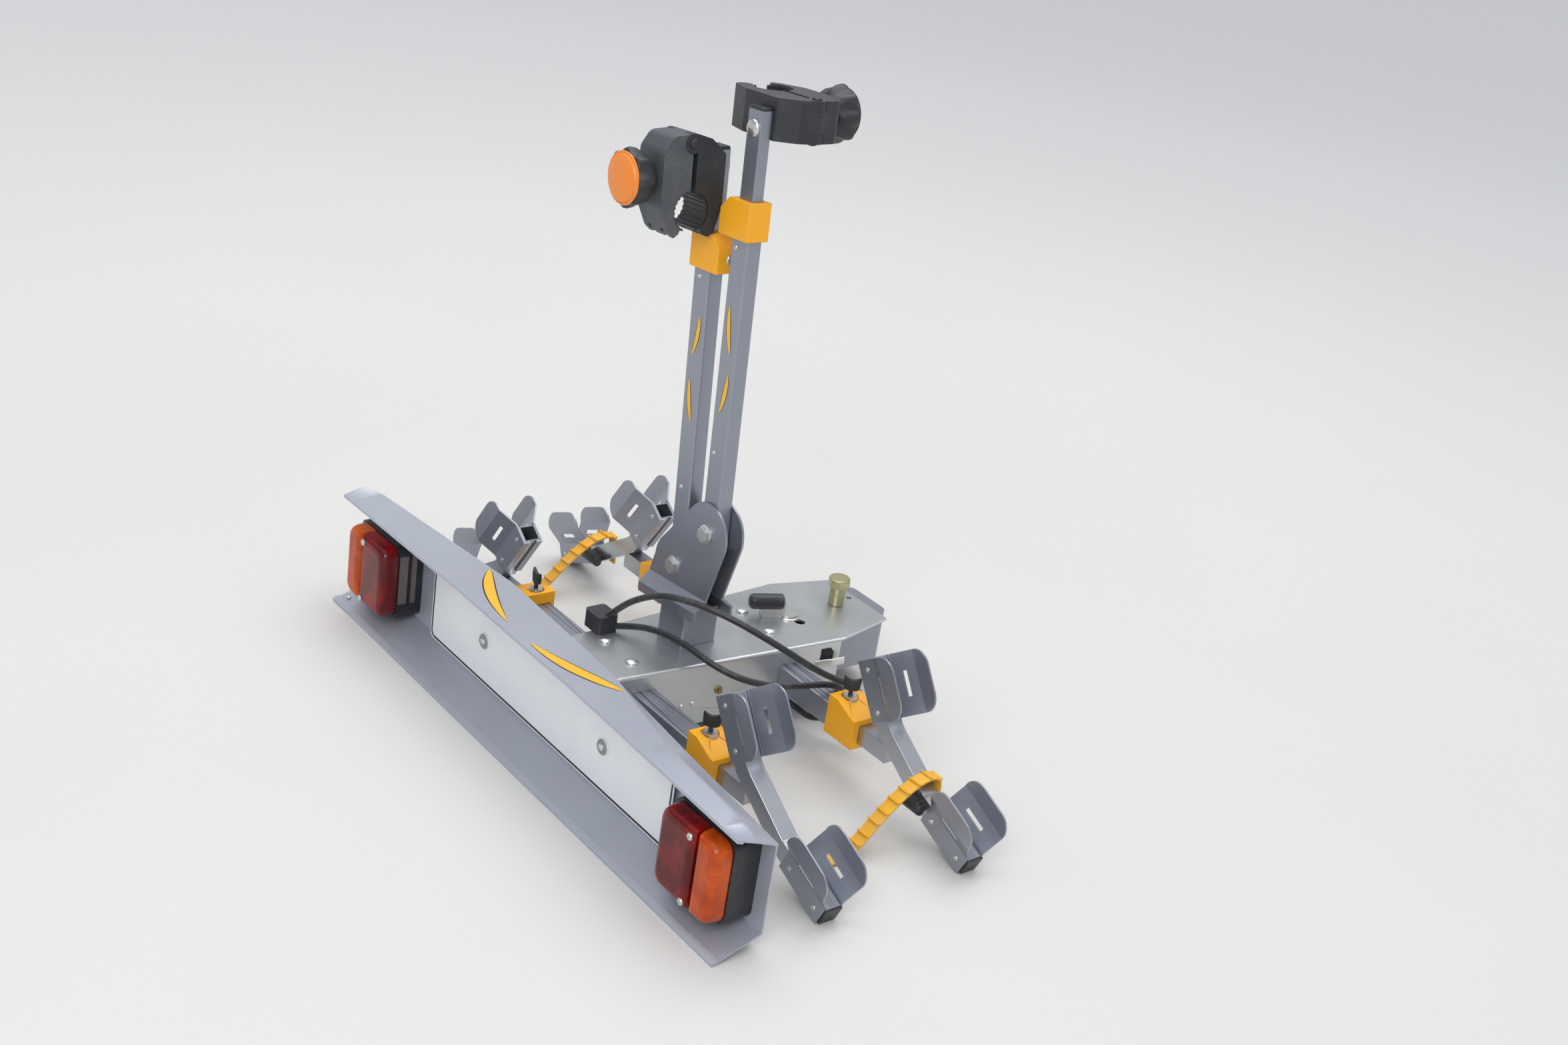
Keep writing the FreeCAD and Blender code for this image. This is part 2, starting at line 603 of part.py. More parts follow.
def coupling_housing():
    """The channel under the nose that carries the cup over the towball."""
    body = new_body("coupling_housing")
    length = "nose_reach - nose_start_y"
    high = "cover_top - cover_thick"
    pad(body, "XY", "nose_low", high + " - nose_low",
        rect("-nose_half", "nose_start_y", "nose_half", "nose_reach"))
    rounded(body, "Z", "nose_round", [("-nose_half", "nose_reach"), ("nose_half", "nose_reach")])
    pocket(body, "XY", "nose_low - 1", high + " - nose_low - nose_wall + 1",
           rect("-nose_half + nose_wall", "nose_start_y - 10", "nose_half - nose_wall",
                "nose_reach - nose_wall"))
    cup_high = high + " - nose_wall - cup_low"
    pad(body, "XY", "cup_low", cup_high, ("circle", "0", "ball_y", "cup_radius"))
    pocket(body, "XY", "ball_height", high + " - ball_height + 1",
           ("circle", "0", "ball_y", "stop_bolt_radius + slide_gap"))
    pocket(body, "XY", "cup_low - 1", "ball_height - cup_low + 1",
           ("circle", "0", "ball_y", "ball_radius + ball_gap"))
    sphere = body.newObject("PartDesign::SubtractiveSphere", "ball_seat")
    sphere.MapMode = "Deactivated"
    bind(sphere, "Radius", "ball_radius + ball_gap")
    sphere.setExpression("Placement", "placement(vector(0; %s; %s); rotation(vector(0; 0; 1); 0))"
                         % (bound("ball_y"), bound("ball_height")))
    doc.recompute()
    node(place(body))
    return body


def stop_bolt():
    body = new_body("setting_bolt")
    low = "ball_height + ball_radius + 2"
    pad(body, "XY", low, "cover_top + stop_bolt_stand - (%s)" % low,
        ("circle", "0", "0", "stop_bolt_radius"))
    pad(body, "XY", "cover_top + stop_bolt_stand - stop_bolt_head_tall", "stop_bolt_head_tall",
        hexagon("0", "0", "stop_bolt_head"))
    node(place(body, y="ball_y"))
    return body


def lever():
    """Zinc plated lever on its disc, with a moulded grip along it."""
    plate = new_body("lever_plate")
    turned(plate, rect("0", "-cover_thick - 2", "lever_disc / 2", "slide_gap"))
    pad(plate, "XY", "slide_gap", "lever_thick", ("circle", "0", "0", "lever_disc"))
    pad(plate, "XY", "slide_gap", "lever_thick",
        rect("0", "-lever_disc * 0.6", "lever_offset + grip_length * 0.6", "lever_disc * 0.6"))
    pad(plate, "YZ", "lever_offset - 4", "grip_length * 0.7",
        rect("-3", "slide_gap + lever_thick - 0.5", "3", "grip_lift - 2"))
    pad(plate, "YZ", "lever_offset - 4", "grip_length * 0.7",
        rect("-3", "grip_lift - 3", "3", "grip_lift + 2"))
    grip = new_body("lever_grip")
    pad(grip, "YZ", "lever_offset", "grip_length", ("circle", "0", "grip_lift", "grip_radius"))
    pocket(grip, "YZ", "lever_offset - 5", "grip_length * 0.7 + 1.25",
           rect("-3 - slide_gap", "grip_lift - grip_radius - 1", "3 + slide_gap",
                "grip_lift + 2 + slide_gap"))
    for item in (plate, grip):
        node(place(item, "lever_x", "lever_y", "cover_top", angle="lever_angle"))


# Crossbars, their collars and clamp screws

def crossbar(which, middle):
    body = new_body("crossbar_" + which)
    half = "bar_size / 2"
    inner = "(bar_size / 2 - bar_wall)"
    pad(body, "YZ", "-bar_half", "2 * bar_half",
        rect("-" + half, "-" + half, half, half), rect("-" + inner, "-" + inner, inner, inner))
    pocket(body, "XY", "0", "bar_size",
           ("circle", "bar_bolt_x", "0", "bar_bolt_radius + slide_gap"),
           ("circle", "-bar_bolt_x", "0", "bar_bolt_radius + slide_gap"))
    pocket(body, "XY", "0", "bar_size",
           ("circle", "screw_x", "0", "screw_radius + slide_gap"),
           ("circle", "-screw_x", "0", "screw_radius + slide_gap"))
    node(place(body, y=middle, z="bar_centre"))
    return body


def dome_profile(shank, low, seat, head, tall):
    """Half outline of a bolt along its axis: the shank up to its seat and a domed head."""
    dome = [(head, seat), (head, "(%s) + (%s) * 0.25" % (seat, tall)),
            ("(%s) * 0.87" % head, "(%s) + (%s) * 0.62" % (seat, tall)),
            ("(%s) * 0.5" % head, "(%s) + (%s) * 0.9" % (seat, tall)),
            ("0", "(%s) + (%s)" % (seat, tall))]
    return [("0", low), (shank, low), (shank, seat)] + dome


def bar_bolts():
    """Four dome-headed bolts through the cover into the crossbars."""
    low = "(bar_centre + bar_size / 2 - bar_wall)"
    bolts = []
    for side in ("-", ""):
        for middle in ("bar_rear_y", "bar_front_y"):
            bolt = new_body("crossbar_bolt")
            turned(bolt, dome_profile("bar_bolt_radius", low, "cover_top", "bar_bolt_head",
                                      "bar_bolt_head / 2"))
            bolts.append(place(bolt, side + "bar_bolt_x", middle))
    group("crossbar_bolts", *bolts)


def bar_collar(which, middle):
    """A moulded collar round the bar's end that guides the sliding tube."""
    body = new_body("bar_collar_%s_right" % which)
    low = "(bar_centre - bar_size / 2 - clip_base)"
    end = "clip_start + clip_length"
    profile = [("clip_start", low), (end, low), (end, "clip_top - clip_fall"),
               (end + " - 6", "clip_top - clip_fall"), ("clip_start + clip_shoulder", "clip_top"),
               ("clip_start", "clip_top")]
    side = "(bar_size / 2 + clip_wall)"
    pad(body, "XZ", "-" + side, "2 * " + side, profile)
    fit = "(bar_size / 2 + slide_gap)"
    pocket(body, "YZ", "clip_start - 1", "bar_half - clip_start + 1 + slide_gap",
           rect("-" + fit, "bar_centre - " + fit, fit, "bar_centre + " + fit))
    rail = "(rail_size / 2 + slide_gap)"
    pocket(body, "YZ", "clip_start", "clip_length + 1",
           rect("-" + rail, "bar_centre - " + rail, rail, "bar_centre + " + rail))
    pocket(body, "XY", "bar_centre", "clip_top - bar_centre + 1",
           ("circle", "screw_x", "0", "screw_radius + slide_gap"))
    pocket(body, "XY", "clip_top - 5", "6", ("circle", "screw_x", "0", "screw_head * 1.3"))
    node(place(body, y=middle))
    mirror_left(body, "bar_collar_%s_left" % which)


def wing_screw(which, middle):
    """Clamp screw with a hexagon seated in the collar and a wing standing on it."""
    body = new_body("clamp_screw_%s_right" % which)
    low = "(bar_centre + rail_size / 2 + slide_gap)"
    seat = "(clip_top - 5 + slide_gap)"
    pad(body, "XY", low, seat + " - " + low, ("circle", "0", "0", "screw_radius"))
    pad(body, "XY", seat, "6", hexagon("0", "0", "screw_head"))
    pad(body, "XY", seat + " + 6", "wing_tall",
        rect("-wing_width / 2", "-wing_thick / 2", "wing_width / 2", "wing_thick / 2"))
    node(place(body, "screw_x", middle, "0"))
    mirror_left(body, "clamp_screw_%s_left" % which)


# Wheel cradles: a straight tube with a bent one welded on its end

def rail_frames():
    """Ends and bends of the bent tube's middle line, as expressions of the sizes."""
    height = "(%s)" % RAIL_BEND_Z
    bend = ("rail_bend_x", height)
    top = ("(rail_bend_x - rail_inner * cos(rail_steep))", "(%s + rail_inner * sin(rail_steep))" % height)
    knee = ("(rail_bend_x + rail_mid * cos(rail_middle))", "(%s - rail_mid * sin(rail_middle))" % height)
    tip = ("(%s + rail_outer * cos(rail_flat))" % knee[0], "(%s - rail_outer * sin(rail_flat))" % knee[1])
    return top, bend, knee, tip


def offset_line(gap, stretch):
    """The middle line moved by gap to its upper side and lengthened at both ends."""
    top, bend, knee, tip = rail_frames()
    half_one = "((rail_steep + rail_middle) / 2)"
    half_two = "((rail_middle + rail_flat) / 2)"
    cut_one = "cos((rail_steep - rail_middle) / 2)"
    cut_two = "cos((rail_middle - rail_flat) / 2)"
    return [
        ("%s + (%s) * sin(rail_steep) - (%s) * cos(rail_steep)" % (top[0], gap, stretch),
         "%s + (%s) * cos(rail_steep) + (%s) * sin(rail_steep)" % (top[1], gap, stretch)),
        ("%s + (%s) * sin%s / %s" % (bend[0], gap, half_one, cut_one),
         "%s + (%s) * cos%s / %s" % (bend[1], gap, half_one, cut_one)),
        ("%s + (%s) * sin%s / %s" % (knee[0], gap, half_two, cut_two),
         "%s + (%s) * cos%s / %s" % (knee[1], gap, half_two, cut_two)),
        ("%s + (%s) * sin(rail_flat) + (%s) * cos(rail_flat)" % (tip[0], gap, stretch),
         "%s + (%s) * cos(rail_flat) - (%s) * sin(rail_flat)" % (tip[1], gap, stretch)),
    ]


def cradle(which, middle):
    body = new_body("cradle_%s_right" % which)
    half = "(rail_size / 2)"
    bore = "(rail_size / 2 - rail_wall)"
    pad(body, "XZ", "-" + half, "rail_size",
        rect("rail_start", "bar_centre - " + half, "rail_bend_x + rail_size / 2", "bar_centre + " + half))
    outer = offset_line(half, "0")
    under = offset_line("-" + half, "0")
    pad(body, "XZ", "-" + half, "rail_size", outer + under[::-1])
    rounded(body, "Y", "rail_round - rail_size / 2", [outer[1]])
    pocket(body, "XZ", "-" + bore, "2 * " + bore,
           offset_line(bore, "1") + offset_line("-" + bore, "1")[::-1])
    pocket(body, "XZ", "-" + bore, "2 * " + bore,
           rect("rail_start - 1", "bar_centre - " + bore, "rail_bend_x - rail_size", "bar_centre + " + bore))
    node(place(body, y=middle))
    mirror_left(body, "cradle_%s_left" % which)


def guide_section(side):
    """One guide's sheet across the tube: turned edge, web, splay and lip."""
    web = "(rail_size / 2 + slide_gap)"
    out = "(%s + guide_thick)" % web
    low = "(-rail_size / 2 - slide_gap)"
    fold = "(rail_size / 2 + guide_fold)"
    far = "(%s + guide_splay_out)" % web
    knee = "(%s + guide_splay_up)" % fold
    lip = "(%s + guide_lip)" % knee
    near = "(%s - guide_under)" % out
    points = [(near, low), (near, low + " - guide_thick"), (out, low + " - guide_thick"), (out, fold),
              (far + " + guide_thick", knee), (far + " + guide_thick", lip), (far, lip),
              (far, knee + " + guide_thick * 0.3"), (web, fold + " + guide_thick * 0.3"), (web, low)]
    return [("%s(%s)" % (side, across), up) for across, up in points]


def guide_pair(label, middle, spot, slope):
    """Two guides riveted either side of the bent tube, along one straight run."""
    body = new_body(label)
    fold = "(rail_size / 2 + guide_fold)"
    lip = "(%s + guide_splay_up + guide_lip)" % fold
    for side in ("", "-"):
        pad(body, "YZ", "0", "guide_length", guide_section(side))
    rounded(body, "Y", "guide_round", [("0", lip), ("guide_length", lip)])
    reach = "(rail_size / 2 + guide_splay_out + 10)"
    low = "(%s + guide_splay_up / 2 - guide_slot / 2)" % fold
    start = "(guide_length / 2 - guide_slot_length / 2)"
    pocket(body, "XZ", "-" + reach, "2 * " + reach,
           rect(start, low, start + " + guide_slot_length", low + " + guide_slot"))
    return place(body, spot[0], middle, spot[1], axis=(0, 1, 0), angle=slope)


def group(label, *members):
    item = doc.addObject("Part::Compound", label)
    item.Label = label
    item.Links = list(members)
    doc.recompute()
    return node(item)


def cradle_fittings(which, middle):
    """The guides on both straight runs of one cradle, and the plug in its outer end."""
    top, bend, knee, tip = rail_frames()
    inner = guide_pair("guides_inner_" + which, middle, top, "rail_steep")
    spot = ("%s - guide_length * cos(rail_flat)" % tip[0], "%s + guide_length * sin(rail_flat)" % tip[1])
    outer = guide_pair("guides_outer_" + which, middle, spot, "rail_flat")
    both = group("guides_%s_right" % which, inner, outer)
    mirror_left(both, "guides_%s_left" % which)
    plug = new_body("end_plug_%s_right" % which)
    half = "rail_size / 2"
    bore = "(rail_size / 2 - rail_wall - slide_gap)"
    pad(plug, "YZ", "0", "plug_out", rect("-" + half, "-" + half, half, half))
    pad(plug, "YZ", "-plug_in", "plug_in", rect("-" + bore, "-" + bore, bore, bore))
    node(place(plug, tip[0], middle, tip[1], axis=(0, 1, 0), angle="rail_flat"))
    mirror_left(plug, "end_plug_%s_left" % which)


# Post and head plates

def post():
    body = new_body("post")
    half = "post_size / 2"
    bore = "(post_size / 2 - post_wall)"
    low = "(bar_centre - bar_size / 2)"
    pad(body, "XY", low, "post_top - " + low,
        rect("-" + half, "-" + half, half, half), rect("-" + bore, "-" + bore, bore, bore))
    rounded(body, "Z", "post_wall", [(a + half, b + half) for a in ("-", "") for b in ("-", "")])
    node(place(body, y="post_y"))


def head_outline():
    """The belt round both pivots, leaving out its two ends."""
    span = "sqrt((pin_right_x - pin_left_x) ^ 2 + (pin_right_z - pin_left_z) ^ 2)"
    across = "(pin_edge * (pin_right_z - pin_left_z) / %s)" % span
    up = "(pin_edge * (pin_right_x - pin_left_x) / %s)" % span
    return [("pin_left_x - " + across, "pin_left_z + " + up),
            ("pin_left_x + " + across, "pin_left_z - " + up),
            ("pin_right_x + " + across, "pin_right_z - " + up),
            ("pin_right_x - " + across, "pin_right_z + " + up)]


def head_plate(which, side):
    """A plate with both pivots, flared at its foot to meet the face of the post."""
    body = new_body("head_plate_" + which)
    near = "(head_gap / 2)"
    start = near if side == "" else "-(head_gap / 2 + head_plate)"
    left = ("circle", "pin_left_x", "pin_left_z", "pin_edge")
    right = ("circle", "pin_right_x", "pin_right_z", "pin_edge")
    foot = [("-head_left", "head_low"), ("head_right", "head_low"),
            ("pin_right_x + pin_edge * 0.93", "pin_right_z - pin_edge * 0.37"),
            ("pin_right_x", "pin_right_z + 1"), ("pin_left_x", "pin_left_z + 1"),
            ("pin_left_x - pin_edge * 0.995", "pin_left_z + pin_edge * 0.1")]
    pad(body, "XZ", start, "head_plate", foot)
    pad(body, "XZ", start, "head_plate", head_outline())
    pad(body, "XZ", start, "head_plate", left)
    pad(body, "XZ", start, "head_plate", right)
    cut = "-(head_gap / 2 + head_plate + 30)"
    pocket(body, "XZ", cut, "2 * (head_gap / 2 + head_plate + 30)",
           rect("-head_left - 20", "-30", "head_right + 60", "head_low"))
    face = "(post_size / 2 + slide_gap)"
    bottom = "(head_low - head_flare)"
    section = [(near, "head_low + 0.01"), (near + " + head_plate", "head_low + 0.01"),
               (face + " + head_plate", bottom + " + head_plate * 0.4"),
               (face + " + head_plate", bottom + " - head_lip"), (face, bottom + " - head_lip"),
               (face, bottom), (near, "head_low - head_plate * 0.6")]
    pad(body, "YZ", "-head_left", "head_left + head_right",
        [("%s(%s)" % (side, along), up) for along, up in section])
    for x, z in (("pin_left_x", "pin_left_z"), ("pin_right_x", "pin_right_z")):
        pocket(body, "XZ", cut, "2 * (head_gap / 2 + head_plate + 30)",
               ("circle", x, z, "pin_radius + pin_gap"))
    return place(body, y="post_y", z="head_pivot_z", axis=(0, 1, 0), angle="-head_lean")


def pin_spot(side):
    """Where one arm's pivot lies once the head leans."""
    x, z = "pin_%s_x" % side, "pin_%s_z" % side
    return ("(%s * cos(head_lean) - %s * sin(head_lean))" % (x, z),
            "(head_pivot_z + %s * sin(head_lean) + %s * cos(head_lean))" % (x, z))


def pivot_bolt(side):
    body = new_body("pivot_bolt_" + side)
    reach = "(head_gap / 2 + head_plate + slide_gap)"
    pad(body, "XZ", "-" + reach, "2 * " + reach, ("circle", "0", "0", "pin_radius"))
    pad(body, "XZ", "-%s - 6" % reach, "6", hexagon("0", "0", "pin_head"))
    pad(body, "XZ", reach, "7", hexagon("0", "0", "pin_head"))
    x, z = pin_spot(side)
    node(place(body, x, "post_y", z, axis=(0, 1, 0), angle="-head_lean"))


# Arms: outer tube on its pivot, collar, and inner tube

def on_arm(item, side, x="0", y="0", z="0", axis=(0, 0, 1), angle=0):
    """Places a piece by a point and a turn in the frame of an arm that leans on its pivot."""
    across, up = pin_spot(side)
    arm = "placement(vector(%s; %s; %s); rotation(vector(0; 1; 0); -%s))" % (
        bound(across), bound("post_y - " + CENTRE_Y), bound(up), bound(side + "_lean"))
    own = "placement(vector(%s; %s; %s); rotation(vector(%g; %g; %g); %g))" % (
        (bound(x), bound(y), bound(z)) + axis + (angle,))
    item.setExpression("Placement", arm + " * " + own)
    return item


def arm_outer(side):
    body = new_body("arm_%s" % side)
    wide, deep = "arm_width / 2", "arm_depth / 2"
    inner = ("(arm_width / 2 - arm_wall)", "(arm_depth / 2 - arm_wall)")
    pad(body, "XY", "-arm_tail", side + "_arm_length + arm_tail",
        rect("-" + wide, "-" + deep, wide, deep), rect("-" + inner[0], "-" + inner[1], inner[0], inner[1]))
    rounded(body, "Z", "arm_wall", [(a + wide, b + deep) for a in ("-", "") for b in ("-", "")])
    pocket(body, "XZ", "-arm_depth", "2 * arm_depth", ("circle", "0", "0", "pin_radius + pin_gap"))
    node(on_arm(body, side))


def arm_collar(side, way):
    """Moulded collar over the outer tube's end, closing on the inner tube."""
    body = new_body("arm_collar_" + side)
    low = "(%s_arm_length - collar_grip)" % side
    high = "(%s + collar_height)" % low
    left, right = "(-collar_width / 2 + %s(collar_side))" % way, "(collar_width / 2 + %s(collar_side))" % way
    pad(body, "XZ", "-collar_depth / 2", "collar_depth", rect(left, low, right, high))
    corner = right if way == "" else left
    rounded(body, "Y", "collar_chamfer", [(corner, high)], kind="Chamfer")
    fit = "slide_gap"
    pocket(body, "XY", low, "collar_grip + slide_gap",
           rect("-arm_width / 2 - " + fit, "-arm_depth / 2 - " + fit, "arm_width / 2 + " + fit,
                "arm_depth / 2 + " + fit))
    wide, deep = "(arm_width / 2 - arm_wall)", "(arm_depth / 2 - arm_wall)"
    pocket(body, "XY", low, "collar_height + 1", rect("-" + wide, "-" + deep, wide, deep))
    node(on_arm(body, side))


def arm_inner(side):
    body = new_body("arm_inner_" + side)
    wide, deep = "(arm_width / 2 - arm_wall - arm_gap)", "(arm_depth / 2 - arm_wall - arm_gap)"
    low = "(%s_arm_length - inner_overlap)" % side
    pad(body, "XY", low, "%s_top - %s" % (side, low), rect("-" + wide, "-" + deep, wide, deep),
        rect("-%s + 1.5" % wide, "-%s + 1.5" % deep, wide + " - 1.5", deep + " - 1.5"))
    pocket(body, "XZ", "-arm_depth", "2 * arm_depth",
           ("circle", "0", "%s_top - clamp_drop" % side, "clamp_bolt + pin_gap"))
    node(on_arm(body, side))


# Frame clamps. Each is drawn with X from the hinge to the tips, Y away from the arm
# and Z across the jaws, about the swivel bolt.

def shifted(points):
    """Clamp points given from the hinge, moved to the swivel bolt."""
    return [("(%s) - clamp_mount_s" % s, n) for s, n in points]


def swivel_offset(side):
    """Where the swivel bolt passes the clamp, across its jaws."""
    return "clamp_raise" if side == "right" else "0"


def tip_cells(body, first, second):
    """Four square pockets in a jaw's tip, at two heights either side of its middle."""
    loops = []
    for up in (first, second):
        for way in ("-", ""):
            middle = way + "(clamp_width / 4)"
            loops.append(rect(up, middle + " - clamp_cell / 2", up + " + clamp_cell",
                              middle + " + clamp_cell / 2"))
    start = "(clamp_length - clamp_mount_s - clamp_cell_depth)"
    pocket(body, "YZ", start, "clamp_cell_depth + 2", *loops)


def on_clamp(item, side):
    """Puts a clamp piece on its arm: the left clamp hangs behind, the right one lies in front."""
    top = "%s_top - clamp_drop" % side
    seat = "(arm_depth / 2 - arm_wall - arm_gap + slide_gap)"
    if side == "left":
        return on_arm(item, side, "0", "-" + seat, top, axis=(1, 0, -1), angle=180)
    return on_arm(item, side, "0", seat, top + " + clamp_raise", axis=(0, 1, 0), angle=180)


def clamp_bore(body):
    half = "clamp_width / 2"
    pocket(body, "XY", "-%s - 1" % half, "clamp_width + 2",
           ("circle", "clamp_hole_s - clamp_mount_s", "clamp_hole_n", "clamp_hole"))


def clamp_base(side):
    body = new_body("clamp_base_" + side)
    half = "clamp_width / 2"
    slot = "(clamp_hole_n - clamp_slot / 2)"
    outline = [("-clamp_boss + 1", slot), ("-5", "20"), ("12", "0"), ("68", "0"), ("98", "8.5"),
               ("clamp_length + 1", "16"), ("99", "25"), ("88", "30"), ("62", slot)]
    pad(body, "XY", "-" + half, "clamp_width", shifted(outline))
    rounded(body, "Z", "5", [shifted(outline)[i] for i in (2, 5)])
    clamp_bore(body)
    hinge = ("circle", "-clamp_mount_s", "clamp_hinge_n", "clamp_boss")
    relief = ("circle", "-clamp_mount_s", "clamp_hinge_n", "clamp_boss + 0.4")
    for low in ("-" + half, "clamp_ear"):
        pad(body, "XY", low, half + " - clamp_ear", hinge)
    pocket(body, "XY", "-clamp_ear", "2 * clamp_ear", relief)
    pad(body, "XY", "-" + half, "clamp_width", ("circle", "-clamp_mount_s", "clamp_hinge_n", "clamp_pin"))
    pocket(body, "XZ", "-1", "9", ("circle", "0", swivel_offset(side), "clamp_bolt + pin_gap"))
    pocket(body, "XZ", "12", "clamp_hole_n",
           ("circle", "clamp_rod_s - clamp_mount_s", "0", "clamp_rod + slide_gap"))
    tip_cells(body, "10", "18.5")
    node(on_clamp(body, side))


def clamp_jaw(side):
    body = new_body("clamp_jaw_" + side)
    half = "clamp_width / 2"
    slot = "(clamp_hole_n + clamp_slot / 2)"
    thick = "clamp_thick"
    outline = [("12", slot), ("62", slot), ("88", "52"), ("98", "56"), ("clamp_length", "62"),
               ("96", thick + " - 13"), ("68", thick), ("8", thick), ("-8", thick + " - 12"),
               ("-clamp_boss + 1", "clamp_hinge_n + 2"), ("0", "clamp_hinge_n")]
    pad(body, "XY", "-" + half, "clamp_width", shifted(outline))
    rounded(body, "Z", "clamp_round", [shifted(outline)[i] for i in (5, 6, 7, 8)])
    clamp_bore(body)
    relief = ("circle", "-clamp_mount_s", "clamp_hinge_n", "clamp_boss + 0.4")
    for low in ("-%s - 1" % half, "clamp_ear - slide_gap"):
        pocket(body, "XY", low, half + " - clamp_ear + slide_gap + 1", relief)
    pad(body, "XY", "-clamp_ear + slide_gap", "2 * (clamp_ear - slide_gap)",
        ("circle", "-clamp_mount_s", "clamp_hinge_n", "clamp_boss"))
    pocket(body, "XY", "-%s - 1" % half, "clamp_width + 2",
           ("circle", "-clamp_mount_s", "clamp_hinge_n", "clamp_pin + pin_gap"))
    rod = "clamp_rod_s - clamp_mount_s"
    play = "clamp_rod + 0.8"
    pocket(body, "XZ", slot + " - 2", thick,
           rect(rod + " - rod_play", "-(%s)" % play, rod + " + rod_play", play))
    tip_cells(body, "57", "67")
    node(on_clamp(body, side))


def clamp_screw(side):
    """Rod, lobed knob and cap on the screw's axis, each drawn along its own Z axis."""
    start = "(clamp_thick + knob_stand)"
    across = "clamp_rod_s - clamp_mount_s"
    rod = new_body("clamp_rod_" + side)
    turned(rod, rect("0", "17", "clamp_rod", start + " + knob_tall / 2"))
    knob = new_body("clamp_knob_" + side)
    pad(knob, "XY", start, "knob_tall", ("circle", "0", "0", "knob_radius - 3"))
    pad(knob, "XY", start, "knob_tall", ("circle", "knob_radius - 9", "0", "9"))
    pattern = knob.newObject("PartDesign::PolarPattern", knob.Name + "_lobes")
    pattern.Originals = [knob.Group[-2]]
    pattern.Axis = (axis_of(knob, "Z_Axis"), [""])
    pattern.Angle = 360
    bind(pattern, "Occurrences", "knob_lobes")
    knob.Tip = pattern
    doc.recompute()
    pad(knob, "XY", "clamp_thick + knob_gap", "knob_stand - knob_gap + 1", ("circle", "0", "0", "knob_hub"))
    pocket(knob, "XY", "clamp_thick - 1", "knob_stand + knob_tall / 2 + 1 + slide_gap",
           ("circle", "0", "0", "clamp_rod + pin_gap"))
    cap = new_body("clamp_cap_" + side)
    seat = "(clamp_thick + knob_stand + knob_tall + pin_gap)"
    turned(cap, [("0", seat), ("cap_radius", seat), ("cap_radius", seat + " + cap_tall * 0.35"),
                 ("cap_radius - 3", seat + " + cap_tall * 0.7"),
                 ("cap_radius * 0.6", seat + " + cap_tall * 0.92"),
                 ("0", seat + " + cap_tall")])
    for item in (rod, knob, cap):
        node(on_screw(item, side, across))


def axis_of(body, role):
    return [item for item in body.Origin.OriginFeatures if item.Role == role][0]


def on_screw(item, side, across):
    """Puts a piece drawn along Z on the clamp's screw axis."""
    top = "%s_top - clamp_drop" % side
    seat = "(arm_depth / 2 - arm_wall - arm_gap + slide_gap)"
    if side == "left":
        return on_arm(item, side, "0", "-" + seat, "%s - (%s)" % (top, across), axis=(1, 0, 0), angle=90)
    return on_arm(item, side, "-(%s)" % across, seat, top + " + clamp_raise", axis=(1, 0, 0), angle=-90)


def swivel_bolt(side):
    """Bolt through the inner tube into the clamp's fixed jaw."""
    body = new_body("swivel_bolt_" + side)
    half = "(arm_depth / 2 - arm_wall - arm_gap)"
    turned(body, dome_profile("clamp_bolt", "-%s - slide_gap - 7" % half, half + " + pin_gap",
                              "swivel_head", "swivel_tall"))
    turn = 90 if side == "right" else -90
    node(on_arm(body, side, "0", "0", "%s_top - clamp_drop" % side, axis=(1, 0, 0), angle=turn))


# Wheel straps: toothed bands from the front face of the front cradle, over it and down to the floor

STRAP_ROUTE = [(315.8, 46), (315.8, 69), (309, 76.5), (297, 77.5), (282, 74), (266, 65), (248, 52),
               (230, 36.5), (213, 20), (196, 7), (180, 3.5), (160, 3.5)]


def band(route):
    """Outline of a band of the strap's thickness along a route."""
    upper, lower = [], []
    for i, (along, up) in enumerate(route):
        before = route[max(i - 1, 0)]
        after = route[min(i + 1, len(route) - 1)]
        run = math.hypot(after[0] - before[0], after[1] - before[1])
        nx, nz = (after[1] - before[1]) / run, -(after[0] - before[0]) / run
        upper.append(("%g + strap_thick / 2 * %.6f" % (along, nx), "%g + strap_thick / 2 * %.6f" % (up, nz)))
        lower.append(("%g - strap_thick / 2 * %.6f" % (along, nx), "%g - strap_thick / 2 * %.6f" % (up, nz)))
    return upper + lower[::-1]


def tooth(route, count):
    """Outline of one tooth across the band, a whole number of pitches from the first."""
    left = number("tooth_start") + count * number("tooth_pitch")
    for before, after in zip(route, route[1:]):
        run = math.hypot(after[0] - before[0], after[1] - before[1])
        if left < run:
            break
        left -= run
    tx, tz = (after[0] - before[0]) / run, (after[1] - before[1]) / run
    along, up = before[0] + tx * left, before[1] + tz * left
    corners = []
    for way, rise in (("-", "0"), ("", "0"), ("", "(strap_thick / 2 + strap_tooth)"),
                      ("-", "(strap_thick / 2 + strap_tooth)")):
        shift = "%s(tooth_length / 2)" % way
        corners.append(("%.6f + %s * %.6f + %s * %.6f" % (along, shift, tx, rise, tz),
                        "%.6f + %s * %.6f - %s * %.6f" % (up, shift, tz, rise, tx)))
    return corners


